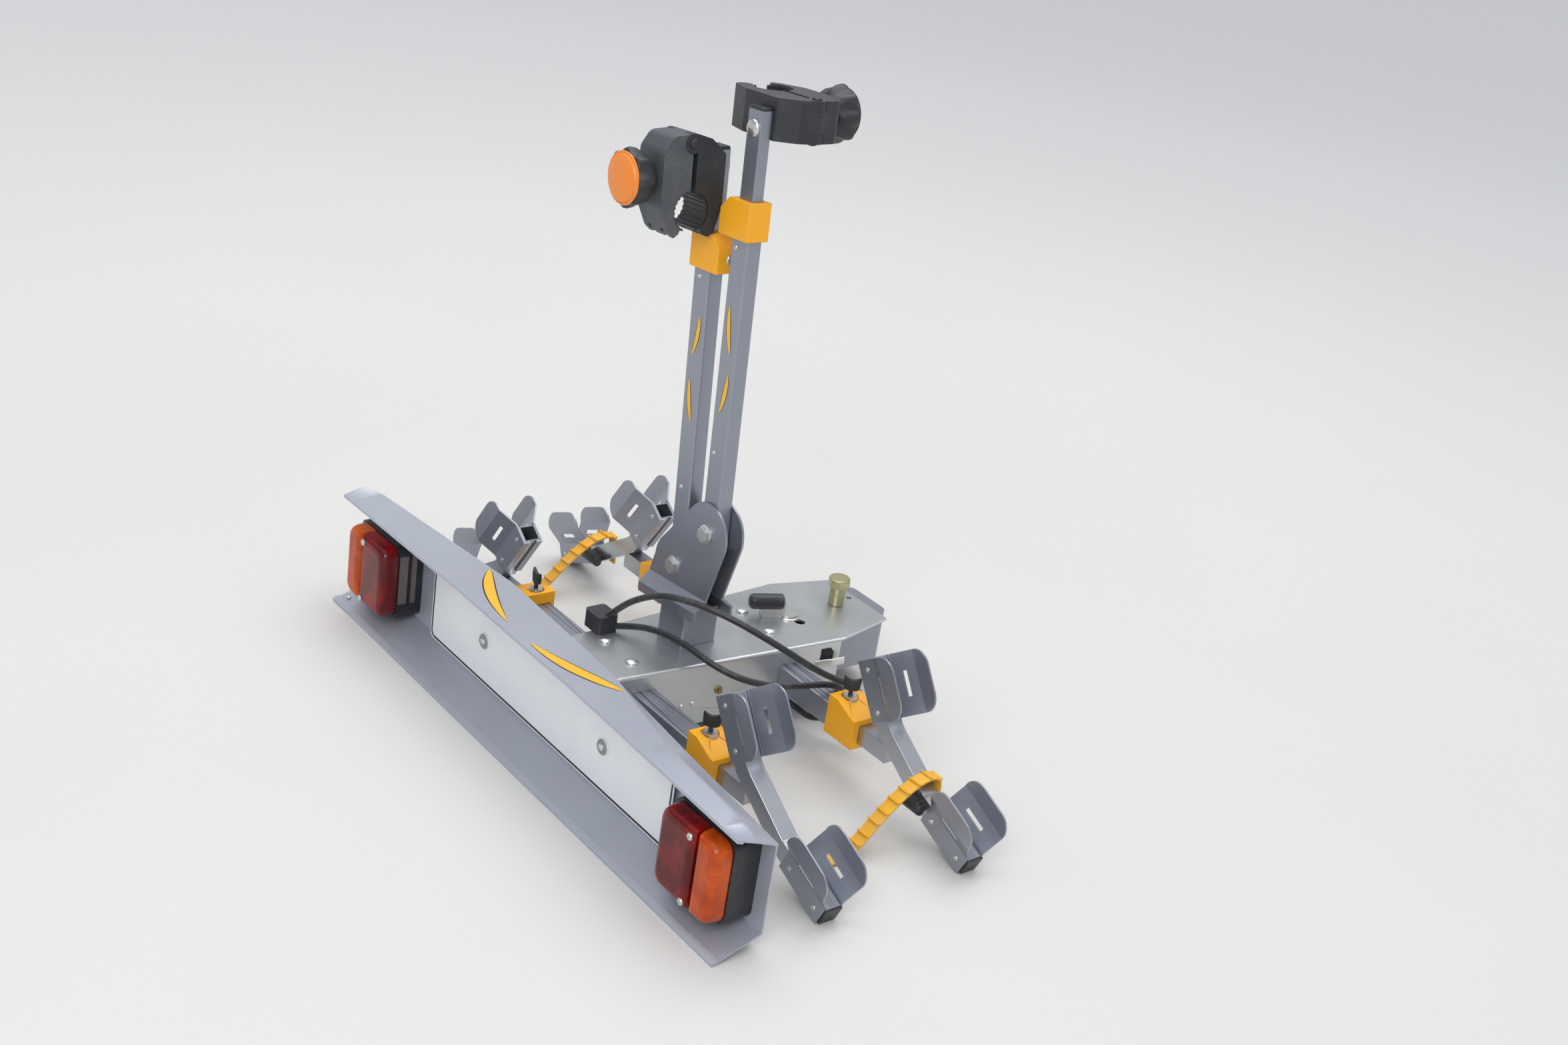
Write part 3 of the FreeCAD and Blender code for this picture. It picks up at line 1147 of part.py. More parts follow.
def strap_with_buckle():
    """The band with its teeth, and the buckle on the rear face of the front cradle."""
    body = new_body("strap_band")
    left = "strap_x - strap_width / 2"
    pad(body, "YZ", left, "strap_width", band(STRAP_ROUTE))
    teeth = [tooth(STRAP_ROUTE, count) for count in range(int(number("strap_teeth")))]
    pad(body, "YZ", left, "strap_width", *teeth)
    buckle = new_body("strap_buckle")
    rail = "(%s - (strap_x - rail_bend_x) * tan(rail_middle))" % RAIL_BEND_Z
    end = "(bar_front_y - rail_size / 2 - slide_gap)"
    pad(buckle, "YZ", "strap_x - buckle_width / 2", "buckle_width",
        rect(end + " - buckle_length", rail + " - buckle_tall * 0.75", end, rail + " + buckle_tall * 0.25"))
    return body, buckle


# Lighting leads: round tubes along straight runs joined by tangent arcs

UPPER_LEAD = [(-50, 112, 126), (-42, 119, 138), (-28, 132, 156), (0, 147, 174), (46, 158, 186),
              (92, 185, 181), (134, 225, 158), (160, 265, 131), (166, 300, 112), (166, 328, 98),
              (167, 346, 76), (165, 352, 50), (148, 344, 30), (124, 328, 27)]
LOWER_LEAD = [(-47, 122, 114), (-30, 136, 120), (0, 150, 127), (48, 158, 130), (88, 166, 124),
              (120, 190, 113), (136, 228, 104), (144, 265, 101), (148, 300, 98), (148, 326, 88),
              (146, 334, 66), (138, 328, 44), (118, 314, 30)]


def lead_end(along):
    """The last two points of a lead, through its hole in the cover's side."""
    height = number("lead_out_z")
    wall = number("cover_front_half")
    tail = number("lead_tail")
    return [(wall + tail, number(along), height), (wall - tail, number(along), height)]


def lead(name, route):
    """One lead as a swept tube; its volume is compared with its section times its length."""
    radius = number("cable_radius")
    shift = number(CENTRE_Y)
    points = [FreeCAD.Vector(x, y - shift, z) for x, y, z in route]
    edges, spot, radii = [], points[0], []
    for before, corner, after in zip(points, points[1:], points[2:]):
        back, ahead = before - corner, after - corner
        turn = math.pi - back.getAngle(ahead)
        cut = 0.45 * min(back.Length, ahead.Length)
        bend = cut / math.tan(turn / 2)
        radii.append(bend)
        back.normalize()
        ahead.normalize()
        first, last = corner + back * cut, corner + ahead * cut
        middle_way = (back + ahead).normalize()
        centre_gap = math.hypot(bend, cut)
        middle = corner + middle_way * (centre_gap - bend)
        edges.append(Part.LineSegment(spot, first).toShape())
        edges.append(Part.Arc(first, middle, last).toShape())
        spot = last
    edges.append(Part.LineSegment(spot, points[-1]).toShape())
    path = Part.Wire(edges)
    start = points[0]
    heading = points[1] - points[0]
    section = Part.Wire([Part.Circle(start, heading, radius).toShape()])
    shape = path.makePipeShell([section], True, False)
    ratio = shape.Volume / (math.pi * radius ** 2 * path.Length)
    print(name, "length %.0f" % path.Length, "least radius %.0f" % min(radii), "volume ratio %.4f" % ratio)
    item = doc.addObject("Part::Feature", name)
    item.Shape = shape
    return item


def cable_holder():
    """Moulded block on the cover's left edge that both leads come out of."""
    body = new_body("cable_holder")
    outline = rect("gland_x - gland_width / 2", "gland_y - gland_length / 2", "gland_x + gland_width / 2",
                   "gland_y + gland_length / 2")
    pad(body, "XY", "cover_top + slide_gap", "gland_tall", outline)
    rounded(body, "Z", "gland_round", outline)
    node(place(body))


def check_and_write():
    doc.recompute()
    for item in doc.Objects:
        if "Invalid" in item.State or "Error" in item.State:
            raise ValueError("%s is %s" % (item.Label, item.State))
    os.makedirs("parts", exist_ok=True)
    for item in nodes:
        if item.Shape.isNull() or not item.Shape.isValid():
            raise ValueError("%s has no valid shape" % item.Label)
        item.Shape.exportStep("parts/%s.step" % item.Label)


light_board()
number_plate()
lamp()
chassis_cover()
coupling_housing()
stop_bolt()
lever()
for which, middle in (("rear", "bar_rear_y"), ("front", "bar_front_y")):
    crossbar(which, middle)
    bar_collar(which, middle)
    wing_screw(which, middle)
    cradle(which, middle)
    cradle_fittings(which, middle)
bar_bolts()
post()
group("head_plates", head_plate("rear", "-"), head_plate("front", ""))
for side, way in (("left", ""), ("right", "-")):
    pivot_bolt(side)
    arm_outer(side)
    arm_collar(side, way)
    arm_inner(side)
    clamp_base(side)
    clamp_jaw(side)
    clamp_screw(side)
    swivel_bolt(side)
strap_pieces = [place(item) for item in strap_with_buckle()]
mirror_left(group("wheel_strap_right", *strap_pieces), "wheel_strap_left")
cable_holder()
group("leads", lead("lead_upper", UPPER_LEAD + lead_end("lead_upper_y")),
      lead("lead_lower", LOWER_LEAD + lead_end("lead_lower_y")))
check_and_write()
print(len(nodes), "pieces")
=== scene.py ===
"""Looks of a towbar bicycle carrier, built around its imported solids."""
import json
import math

import bmesh
import bpy
import numpy as np
from mathutils import Matrix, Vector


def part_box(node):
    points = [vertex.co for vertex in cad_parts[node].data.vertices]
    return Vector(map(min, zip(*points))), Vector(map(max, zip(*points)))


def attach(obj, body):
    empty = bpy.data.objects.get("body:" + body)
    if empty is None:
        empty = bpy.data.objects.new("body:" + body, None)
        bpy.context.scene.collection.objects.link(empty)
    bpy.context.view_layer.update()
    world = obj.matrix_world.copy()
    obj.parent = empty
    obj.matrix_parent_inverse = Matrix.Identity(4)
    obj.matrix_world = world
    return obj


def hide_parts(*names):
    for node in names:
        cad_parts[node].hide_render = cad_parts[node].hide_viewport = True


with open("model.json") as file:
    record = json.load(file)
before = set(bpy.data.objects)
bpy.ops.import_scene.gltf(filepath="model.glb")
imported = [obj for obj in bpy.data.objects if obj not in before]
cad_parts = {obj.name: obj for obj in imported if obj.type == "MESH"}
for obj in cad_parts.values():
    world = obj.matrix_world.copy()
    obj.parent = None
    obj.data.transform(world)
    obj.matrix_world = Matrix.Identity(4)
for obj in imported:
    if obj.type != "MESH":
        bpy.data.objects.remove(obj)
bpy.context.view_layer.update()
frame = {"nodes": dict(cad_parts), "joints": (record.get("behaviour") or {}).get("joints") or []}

bl_info = {
    "name": "Towbar bicycle carrier",
    "version": (1, 0, 0),
    "blender": (4, 5, 0),
    "location": "3D View > Sidebar > Carrier",
    "description": "Pieces and finishes of a towbar bicycle carrier",
    "category": "Add Mesh",
}

MM = 0.001
AXIS = 0.001  # the radius at which a turned profile closes, in millimetres
PLATE_Y = -218.5  # the number plate's face lies this far behind the middle, in millimetres
COVER_TOP = 108  # height of the chassis cover's top
JOINTS = {joint["name"]: joint for joint in frame["joints"]}
SIDES = {"left": -1, "right": 1}
RAILS = {"rear": 100, "front": 303}  # how far each crossbar lies ahead of the plate's face
FIXED = "carrier_frame"  # the body of everything that doesn't move


def tone(red, green, blue):
    """A screen colour of 0 to 255 as the linear colour that shaders take."""
    values = np.array([red, green, blue]) / 255
    linear = np.where(values <= 0.04045, values / 12.92, ((values + 0.055) / 1.055) ** 2.4)
    return tuple(float(v) for v in linear) + (1.0,)


# Shapes: every function returns points in millimetres and the faces that join them

def spot(x, y, z):
    """A point given by its distance ahead of the plate's face, in the part's millimetres."""
    return np.array([x, y + PLATE_Y, z], float)


def basis(along):
    """Matrix whose columns are x = up cross along, y = along cross x and z = along, all of unit length."""
    z = np.array(along, float) / np.linalg.norm(along)
    x = np.cross((0.0, 0.0, 1.0), z)
    if np.linalg.norm(x) < 1e-6:
        x = np.cross((0.0, 1.0, 0.0), z)
    x /= np.linalg.norm(x)
    return np.stack([x, np.cross(z, x), z], 1)


BACKWARDS = basis((0, -1, 0))


def moved(shape, origin, turn=None):
    """The shape turned by a matrix of column axes and then shifted: p' = turn p + origin."""
    points, faces = shape
    if turn is not None:
        points = points @ np.asarray(turn, float).T
    return points + np.asarray(origin, float), faces


def joined(*shapes):
    """One shape of several: points are stacked and face numbers shifted."""
    points, faces, count = [], [], 0
    for own_points, own_faces in shapes:
        points.append(own_points)
        faces += [[index + count for index in face] for face in own_faces]
        count += len(own_points)
    return np.concatenate(points), faces


def skin(rings, looped=False, open_rings=False):
    """Quads over a grid of points, ring i and place j, with a many-sided cap at each end of closed rings."""
    rings = np.asarray(rings, float)
    count, around = rings.shape[:2]
    last = around - 1 if open_rings else around
    i, j = np.meshgrid(np.arange(count if looped else count - 1), np.arange(last), indexing="ij")
    after_i, after_j = (i + 1) % count, (j + 1) % around
    corners = [i * around + j, i * around + after_j, after_i * around + after_j, after_i * around + j]
    faces = np.stack(corners, -1).reshape(-1, 4).tolist()
    if not looped and not open_rings:
        faces.append(list(range(around))[::-1])
        faces.append(list(range((count - 1) * around, count * around)))
    return rings.reshape(-1, 3), faces


def ring(angle, radius, height):
    """Points (r cos a, r sin a, h)."""
    return np.stack([radius * np.cos(angle), radius * np.sin(angle), np.full(len(angle), float(height))], -1)


def spun(profile, steps=40):
    """A profile of (radius, height) turned about Z: (r cos a, r sin a, h)."""
    angle = np.arange(steps) * 2 * math.pi / steps
    return skin([ring(angle, radius, height) for radius, height in profile])


def rounded_outline(low, high, radii, steps=6):
    """A rectangle's outline, its corners arcs centre + r (cos a, sin a), anticlockwise from low left."""
    corners = [((low[0], low[1]), (1, 1), 180), ((high[0], low[1]), (-1, 1), 270),
               ((high[0], high[1]), (-1, -1), 0), ((low[0], high[1]), (1, -1), 90)]
    parts = []
    for (corner, inward, start), radius in zip(corners, np.broadcast_to(radii, 4)):
        angle = np.radians(start + np.linspace(0, 90, steps + 1))
        centre = np.array(corner, float) + np.array(inward) * radius
        parts.append(centre + radius * np.stack([np.cos(angle), np.sin(angle)], -1))
    return np.concatenate(parts)


def bar_section(half_wide, half_tall, radius, steps):
    """The outline of a flat bar about its middle."""
    return rounded_outline((-half_wide, -half_tall), (half_wide, half_tall), radius, steps)


def stacked(low, high, radii, levels, steps=6):
    """Rounded rectangles one above another, each drawn in by its inset: a crowned block along Z."""
    sharpest = 0.3
    rings = []
    for height, inset in levels:
        less = inset * 0.5
        corners = [radius - less if radius > less else sharpest for radius in np.broadcast_to(radii, 4)]
        outline = rounded_outline((low[0] + inset, low[1] + inset), (high[0] - inset, high[1] - inset),
                                  corners, steps)
        rings.append(np.column_stack([outline, np.full(len(outline), height)]))
    return skin(rings)


def hexagon_nut(half, tall):
    """A hexagon whose corners meet a cone at both ends: r(a) = min(half / cos a, cone)."""
    chamfer = 0.9
    angle = np.radians(np.arange(0, 360, 10))
    flat = half / np.cos((angle + math.pi / 6) % (math.pi / 3) - math.pi / 6)
    levels = [(0, 1.0), (0, half * 1.06), (chamfer, half * 1.16), (tall - chamfer, half * 1.16),
              (tall, half * 1.04), (tall, 1.0)]
    return skin([ring(angle, np.minimum(flat, cone), height) for height, cone in levels])


def smooth_path(points, per=5):
    """A quadratic B-spline through the middles of the runs: (1-t)^2/2 a + (1/2 + t - t^2) b + t^2/2 c."""
    points = np.array(points, float)
    full = np.vstack([2 * points[0] - points[1], points, 2 * points[-1] - points[-2]])
    t = np.linspace(0, 1, per, endpoint=False)[:, None]
    parts = [0.5 * (1 - t) ** 2 * a + (0.5 + t - t * t) * b + 0.5 * t * t * c
             for a, b, c in zip(full[:-2], full[1:-1], full[2:])]
    return np.concatenate(parts + [0.5 * (full[-2] + full[-1])[None]])


def directions(path):
    """Unit directions along a path."""
    ahead = np.gradient(path, axis=0)
    return ahead / np.linalg.norm(ahead, axis=1)[:, None]


def swept(path, outline, side):
    """An outline (across, up) carried along a path: p + across s + up n, n = s cross the path's direction."""
    path, outline = np.array(path, float), np.array(outline, float)
    ahead = directions(path)
    across = np.broadcast_to(np.array(side, float), path.shape)
    across = across - (across * ahead).sum(1)[:, None] * ahead
    across /= np.linalg.norm(across, axis=1)[:, None]
    up = np.cross(across, ahead)
    return skin(path[:, None] + outline[None, :, :1] * across[:, None] + outline[None, :, 1:] * up[:, None])


def dome(radius, tall):
    """Profile of a domed head: a wall of a quarter of its height, then a quarter ellipse."""
    wall = tall * 0.25
    angle = np.radians(np.linspace(0, 90, 8))
    curve = np.stack([radius * np.cos(angle), wall + (tall - wall) * np.sin(angle)], -1)
    return [(radius, 0)] + [tuple(point) for point in curve[:-1]] + [(AXIS, tall)]


def blind_rivet(radius):
    """A flat domed rivet head with the small hollow that its mandrel leaves."""
    shares = [(1, 0), (0.97, 0.16), (0.8, 0.34), (0.48, 0.42), (0.36, 0.36), (0.3, 0.14)]
    return spun([(radius * wide, radius * tall) for wide, tall in shares] + [(AXIS, radius * 0.12)], 20)


def arch(t):
    """A parabola that rises from 0 to 1 at t = 1/2 and falls back to 0: 4 t (1 - t)."""
    return 4 * t * (1 - t)


# Finishes: helpers for nodes, and the shader groups that several materials share

def feed(tree, node, values):
    """Sets or links a node's inputs by name or place."""
    for name, value in values.items():
        socket = node.inputs[name]
        if isinstance(value, bpy.types.NodeSocket):
            tree.links.new(value, socket)
        else:
            socket.default_value = value


def put(tree, kind, values=None, **settings):
    """Adds a node, sets its properties and feeds its inputs."""
    made = tree.nodes.new(kind)
    for name, value in settings.items():
        setattr(made, name, value)
    feed(tree, made, values or {})
    return made


def new_group(name, inputs, outputs):
    """An empty shader group; inputs come with their values, and the output named Color is a colour."""
    group = bpy.data.node_groups.new(name, "ShaderNodeTree")
    for label, value in inputs.items():
        kind = "NodeSocketColor" if isinstance(value, tuple) else "NodeSocketFloat"
        group.interface.new_socket(label, in_out="INPUT", socket_type=kind).default_value = value
    for label in outputs:
        kind = "NodeSocketColor" if label == "Color" else "NodeSocketFloat"
        group.interface.new_socket(label, in_out="OUTPUT", socket_type=kind)
    return group, group.nodes.new("NodeGroupInput"), group.nodes.new("NodeGroupOutput")


def calc(tree, operation, first, second, clamp=False):
    return put(tree, "ShaderNodeMath", {0: first, 1: second}, operation=operation, use_clamp=clamp).outputs[0]


def noise(tree, where, scale, detail=3.0, rough=0.5, stretch=None):
    """Noise on object coordinates, drawn out along an axis where stretch says so."""
    if stretch is not None:
        where = put(tree, "ShaderNodeMapping", {"Vector": where, "Scale": stretch}).outputs[0]
    return put(tree, "ShaderNodeTexNoise",
               {"Vector": where, "Scale": scale, "Detail": detail, "Roughness": rough}).outputs["Fac"]


def span(tree, value, low, high, to_low=0.0, to_high=1.0):
    """A value's stretch from low to high, as a clamped mask."""
    limits = {"Value": value, "From Min": low, "From Max": high, "To Min": to_low, "To Max": to_high}
    return put(tree, "ShaderNodeMapRange", limits, clamp=True).outputs["Result"]


def mix(tree, factor, first, second):
    return put(tree, "ShaderNodeMix", {0: factor, 6: first, 7: second}, data_type="RGBA").outputs[2]


def used_surface():
    """Group for any used surface: slow colour drift, dust in patches, fine scuffs and a grain height."""
    group = bpy.data.node_groups.get("used surface")
    if group:
        return group
    group, given, result = new_group(
        "used surface",
        {"Color": (0.5, 0.5, 0.5, 1.0), "Dust": 0.2, "Scuffs": 0.3, "Grain": 900.0, "Roughness": 0.4,
         "Drift": 0.1}, ("Color", "Roughness", "Height"))
    given = given.outputs
    where = put(group, "ShaderNodeTexCoord").outputs["Object"]
    slow = noise(group, where, 9.0, 4.0, 0.6)
    drift = calc(group, "MULTIPLY", calc(group, "SUBTRACT", slow, 0.5), given["Drift"])
    bright = calc(group, "ADD", drift, 1.0)
    shade = put(group, "ShaderNodeHueSaturation", {"Color": given["Color"], "Value": bright}).outputs[0]
    patches = calc(group, "MULTIPLY", span(group, noise(group, where, 26.0, 5.0, 0.65), 0.48, 0.72),
                   span(group, noise(group, where, 420.0, 2.0, 0.7), 0.35, 0.7))
    dusty = calc(group, "MULTIPLY", patches, given["Dust"], clamp=True)
    shade = mix(group, dusty, shade, tone(186, 180, 168))
    fine = span(group, noise(group, where, 55.0, 6.0, 0.8, (1.0, 14.0, 5.0)), 0.67, 0.73)
    other = span(group, noise(group, where, 48.0, 6.0, 0.8, (12.0, 1.0, 3.0)), 0.68, 0.74)
    lines = calc(group, "MULTIPLY", calc(group, "MAXIMUM", fine, other), given["Scuffs"], clamp=True)
    shade = mix(group, lines, shade, tone(206, 207, 206))
    rough = calc(group, "ADD", given["Roughness"], calc(group, "MULTIPLY", dusty, 0.35))
    rough = calc(group, "ADD", rough, calc(group, "MULTIPLY", drift, 0.8), clamp=True)
    grain = noise(group, where, given["Grain"], 2.0, 0.6)
    height = calc(group, "SUBTRACT", grain, calc(group, "MULTIPLY", lines, 0.5))
    feed(group, result, {"Color": shade, "Roughness": rough, "Height": height})
    return group


def moulded_prisms():
    """Group for prisms moulded in a lens: ridges along Z crossed by others along X, under painted glint
    patches.
    """
    group = bpy.data.node_groups.get("moulded prisms")
    if group:
        return group
    group, given, result = new_group(
        "moulded prisms",
        {"Color": (0.5, 0.0, 0.0, 1.0), "Glow": (1.0, 0.0, 0.0, 1.0), "Across": 300.0, "Amount": 0.5},
        ("Color", "Height"))
    given = given.outputs
    where = put(group, "ShaderNodeTexCoord").outputs["Object"]
    parts = put(group, "ShaderNodeSeparateXYZ", {"Vector": where}).outputs
    ridge, step = [calc(group, "PINGPONG", calc(group, "MULTIPLY", parts[axis], given["Across"]), 1.0)
                   for axis in ("X", "Z")]
    cells = calc(group, "MULTIPLY", ridge, step)
    # painted glints: noisy patches and the ridges mix the lens colour towards a brighter glint tone
    painted_glint_mask = calc(group, "MULTIPLY", span(group, noise(group, where, 26.0), 0.42, 0.68), given["Amount"])
    painted_glint_mask = calc(group, "ADD", painted_glint_mask, calc(group, "MULTIPLY", cells, 0.12), clamp=True)
    feed(group, result, {"Color": mix(group, painted_glint_mask, given["Color"], given["Glow"]), "Height": cells})
    return group


# Finishes: slot, colour (a word names one that the user sets), roughness, and then for acrylic the tone of
# its painted glints, and for the others metallic, dust, scuffs, grain, bump, drift, coat and sheen
FINISHES = {
    "silver paint": ("silver_paint", "paint", 0.34, 0.7, 0.16, 0.22, 2600, 0.05, 0.16),
    "tube paint": ("silver_paint", tone(176, 179, 186), 0.24, 0.88, 0.12, 0.3, 2200, 0.02, 0.2),
    "board paint": ("silver_paint", "board", 0.38, 0.4, 0.2, 0.2, 2600, 0.05),
    "cover lacquer": ("silver_paint", "cover", 0.32, 0.85, 0.2, 0.4, 2200, 0.012, 0.2),
    # bevel faces: bare metal on cut sheet edges, and a painted highlight on bends and rounded rims
    "bare sheet edge": ("silver_paint", tone(228, 229, 230), 0.35, 0.4, 0.1, 0.4, 1100, 0.15, 0.4),
    "decal outline": ("silver_paint", tone(40, 42, 48), 0.45, 0, 0.1, 0.1, 900, 0.02),
    "zinc plating": ("zinc", tone(214, 214, 211), 0.28, 0.9, 0.12, 0.3, 1300, 0.01, 0.3),
    "yellow passivated zinc": ("zinc", tone(186, 180, 140), 0.34, 0.85, 0.35, 0.4, 900, 0.15, 0.5),
    "brass": ("zinc", tone(150, 128, 84), 0.4, 0.9, 0.4),
    "yellow plastic": ("yellow_plastic", "yellow", 0.42, 0, 0.12, 0.12, 1600, 0.1, 0.1),
    "strap yellow": ("yellow_plastic", tone(226, 168, 34), 0.45, 0, 0.45, 0.2, 1400, 0.1, 0.35),
    "decal yellow": ("yellow_plastic", tone(240, 184, 40), 0.4, 0, 0.1, 0.15, 900, 0.02),
    "orange plastic": ("orange_plastic", "orange", 0.34, 0, 0.15, 0.12, 1500, 0.05, 0.12, 0.2),
    "black plastic": ("black_plastic", "black", 0.45, 0, 0.1, 0.12, 1800, 0.15, 0.35),
    "faded black plastic": ("black_plastic", tone(72, 77, 84), 0.55, 0, 0.18, 0.3, 1500, 0.2, 0.9),
    "lamp housing plastic": ("black_plastic", tone(30, 31, 35), 0.38, 0, 0.08, 0.12, 1800, 0.1, 0.3),
    "cable rubber": ("black_plastic", tone(36, 37, 41), 0.38, 0, 0.2, 0.1, 1500, 0.08, 0.3, 0, 0.1),
    "grey plastic": ("black_plastic", tone(140, 142, 142), 0.5, 0, 0.3, 0.25, 900, 0.1),
    "slot shadow": ("black_plastic", tone(26, 27, 30), 0.7),
    "plate white": ("plate", tone(234, 237, 240), 0.35, 0, 0.2, 0.15, 2400, 0.08, 0.06, 0.2),
    "plate border ink": ("plate", tone(30, 32, 36), 0.4, 0, 0.2, 0.1, 900, 0.02),
    "milky lens": ("lens", tone(92, 82, 84), 0.25, 0, 0.15, 0.1, 600, 0.2, 0.4, 0.3),
    # the last tone of an acrylic is a painted glint, brighter than the acrylic itself
    "red acrylic": ("lens", tone(82, 3, 4), 0.14, tone(160, 10, 7)),
    "amber acrylic": ("lens", tone(164, 54, 3), 0.14, tone(222, 100, 10)),
}


def new_material(name):
    """A new material, its node tree and its shader."""
    made = bpy.data.materials.new(name)
    made.use_nodes = True
    return made, made.node_tree, made.node_tree.nodes["Principled BSDF"]


def plain_finish(name, color, rough, metallic=0.0, dust=0.2, scuffs=0.25, grain=900.0, bump=0.06, drift=0.12,
                 coat=0.0, sheen=0.0):
    """A material of the used surface group over a Principled shader."""
    made, tree, shader = new_material(name)
    worn = put(tree, "ShaderNodeGroup", {"Color": color, "Dust": dust, "Scuffs": scuffs, "Grain": grain,
                                         "Roughness": rough, "Drift": drift}, node_tree=used_surface())
    relief = put(tree, "ShaderNodeBump",
                 {"Height": worn.outputs["Height"], "Strength": bump, "Distance": 0.0004})
    feed(tree, shader, {"Base Color": worn.outputs["Color"], "Roughness": worn.outputs["Roughness"],
                        "Normal": relief.outputs[0], "Metallic": metallic, "Coat Weight": coat,
                        "Coat Roughness": 0.15, "Sheen Weight": sheen})
    return made


def acrylic_finish(name, color, rough, painted_glint_tone):
    """Coloured acrylic with moulded prisms and painted glints under a clear glossy face, rougher where grime
    lies.
    """
    half_prisms_per_metre, most_grime = 420.0, 0.22
    made, tree, shader = new_material(name)
    inside = put(tree, "ShaderNodeGroup", {"Color": color, "Glow": painted_glint_tone, "Across": half_prisms_per_metre,
                                           "Amount": 0.7}, node_tree=moulded_prisms())
    where = put(tree, "ShaderNodeTexCoord").outputs["Object"]
    grime = span(tree, noise(tree, where, 60.0, 6.0, 0.75), 0.62, 0.76, 0.0, most_grime)
    relief = put(tree, "ShaderNodeBump",
                 {"Height": inside.outputs["Height"], "Strength": 0.25, "Distance": 0.0006})
    feed(tree, shader, {"Base Color": mix(tree, grime, inside.outputs["Color"], tone(150, 120, 96)),
                        "Roughness": span(tree, grime, 0.0, most_grime, rough, 0.45),
                        "Normal": relief.outputs[0], "Specular IOR Level": 0.28, "Coat Weight": 0.2,
                        "Coat Roughness": 0.04})
    return made


def material(name):
    """The finish of that name, made at its first use."""
    made = bpy.data.materials.get(name)
    if made:
        return made
    _, color, *looks = FINISHES[name]
    if isinstance(color, str):
        color = tuple(getattr(bpy.context.scene.carrier_colours, color))
    make = acrylic_finish if name.endswith("acrylic") else plain_finish
    return make(name, color, *looks)


# Pieces

def placed(name, data):
    """A new object of that data in the scene."""
    item = bpy.data.objects.new(name, data)
    bpy.context.scene.collection.objects.link(item)
    return item


def piece(name, shape, finish, body, smooth=32.0, replaces=()):
    """Makes the mesh in metres, merges its doubles, turns its faces outwards and gives it to a body."""
    same_place, no_length = 2e-6, 1e-7
    points, faces = shape
    mesh = bpy.data.meshes.new(name)
    mesh.from_pydata((points * MM).tolist(), [], faces)
    work = bmesh.new()
    work.from_mesh(mesh)
    bmesh.ops.remove_doubles(work, verts=work.verts, dist=same_place)
    bmesh.ops.dissolve_degenerate(work, edges=work.edges, dist=no_length)
    bmesh.ops.recalc_face_normals(work, faces=work.faces)
    work.to_mesh(mesh)
    work.free()
    mesh.materials.append(material(finish))
    mesh.shade_smooth()
    mesh.set_sharp_from_angle(angle=math.radians(smooth))
    item = placed(name, mesh)
    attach(item, body)
    if replaces:
        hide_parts(*replaces)


def dress(finish, width, *names, bare=False, angle=38.0, segments=2):
    """Gives solids their material, and rounded edges of a width whose faces may be bare metal and painted
    highlight.
    """
    for name in names:
        item = frame["nodes"][name]
        if not item.material_slots:
            item.data.materials.append(material(finish))
        for slot in item.material_slots:
            slot.material = material(finish)
        # bevel faces in a bright finish: bare metal on cut sheet edges, a painted highlight on bends and
        # rounded rims
        if bare:
            item.data.materials.append(material("bare sheet edge"))
        item.modifiers.new("joined", "WELD").merge_threshold = 1e-5
        if width:
            soften = item.modifiers.new("edges", "BEVEL")
            soften.width = width * MM
            soften.segments = segments
            soften.limit_method = "ANGLE"
            soften.angle_limit = math.radians(angle)
            soften.use_clamp_overlap = True
            if bare:
                soften.material = len(item.material_slots) - 1
        item.modifiers.new("shading", "WEIGHTED_NORMAL").keep_sharp = True


def node_box(name):
    """A solid's lowest and highest corners, in millimetres."""
    low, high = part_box(name)
    return np.array(low) / MM, np.array(high) / MM


UPPER_LEAD = [(-50, 112, 126), (-42, 119, 138), (-28, 132, 156), (0, 147, 174), (46, 158, 186),
              (92, 185, 181), (134, 225, 158), (160, 265, 131), (166, 300, 112), (166, 328, 98),
              (167, 346, 76), (165, 352, 50), (148, 344, 30), (124, 328, 27), (96, 322, 36), (64, 322, 36)]
LOWER_LEAD = [(-47, 122, 114), (-30, 136, 120), (0, 150, 127), (48, 158, 130), (88, 166, 124),
              (120, 190, 113), (136, 228, 104), (144, 265, 101), (148, 300, 98), (148, 326, 88),
              (146, 334, 66), (138, 328, 44), (118, 314, 30), (96, 306, 36), (64, 306, 36)]


def make_lead(name, route):
    """A lead on one NURBS curve with the route's points as its control points."""
    sizes = bpy.context.scene.carrier_sizes
    curve = bpy.data.curves.new(name, "CURVE")
    curve.dimensions = "3D"
    line = curve.splines.new("NURBS")
    line.points.add(len(route) - 1)
    for point, place in zip(line.points, route):
        point.co = tuple(spot(*place) * MM) + (1.0,)
    line.order_u = 3
    line.use_endpoint_u = True
    line.resolution_u = 10
    curve.bevel_depth = sizes.lead_diameter / 2
    curve.bevel_resolution = 5
    curve.use_fill_caps = True
    curve.materials.append(material("cable rubber"))
    item = placed(name, curve)
    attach(item, "carrier_frame")
    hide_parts("leads")


# Sections of the light board: place along it, its rim's height and reach, its ridge's height and place
BOARD_STATIONS = (-422, -398, -118, 118, 262, 398, 422)
BOARD_RIM = (150, 151.1, 164, 164, 156.42, 149.26, 148)
BOARD_REACH = (45.5, 46.1, 53, 53, 49.45, 46.1, 45.5)
BOARD_RIDGE = (158, 154, 157, 157, 154, 150, 138.5)
BOARD_RIDGE_Y = (-19, -4, 21, 11, -16, -20, -19)
FLANGE_REACH, FLANGE_RISE, FLANGE_RUN = 53, 19, 59  # the lower flange rises this much over this run
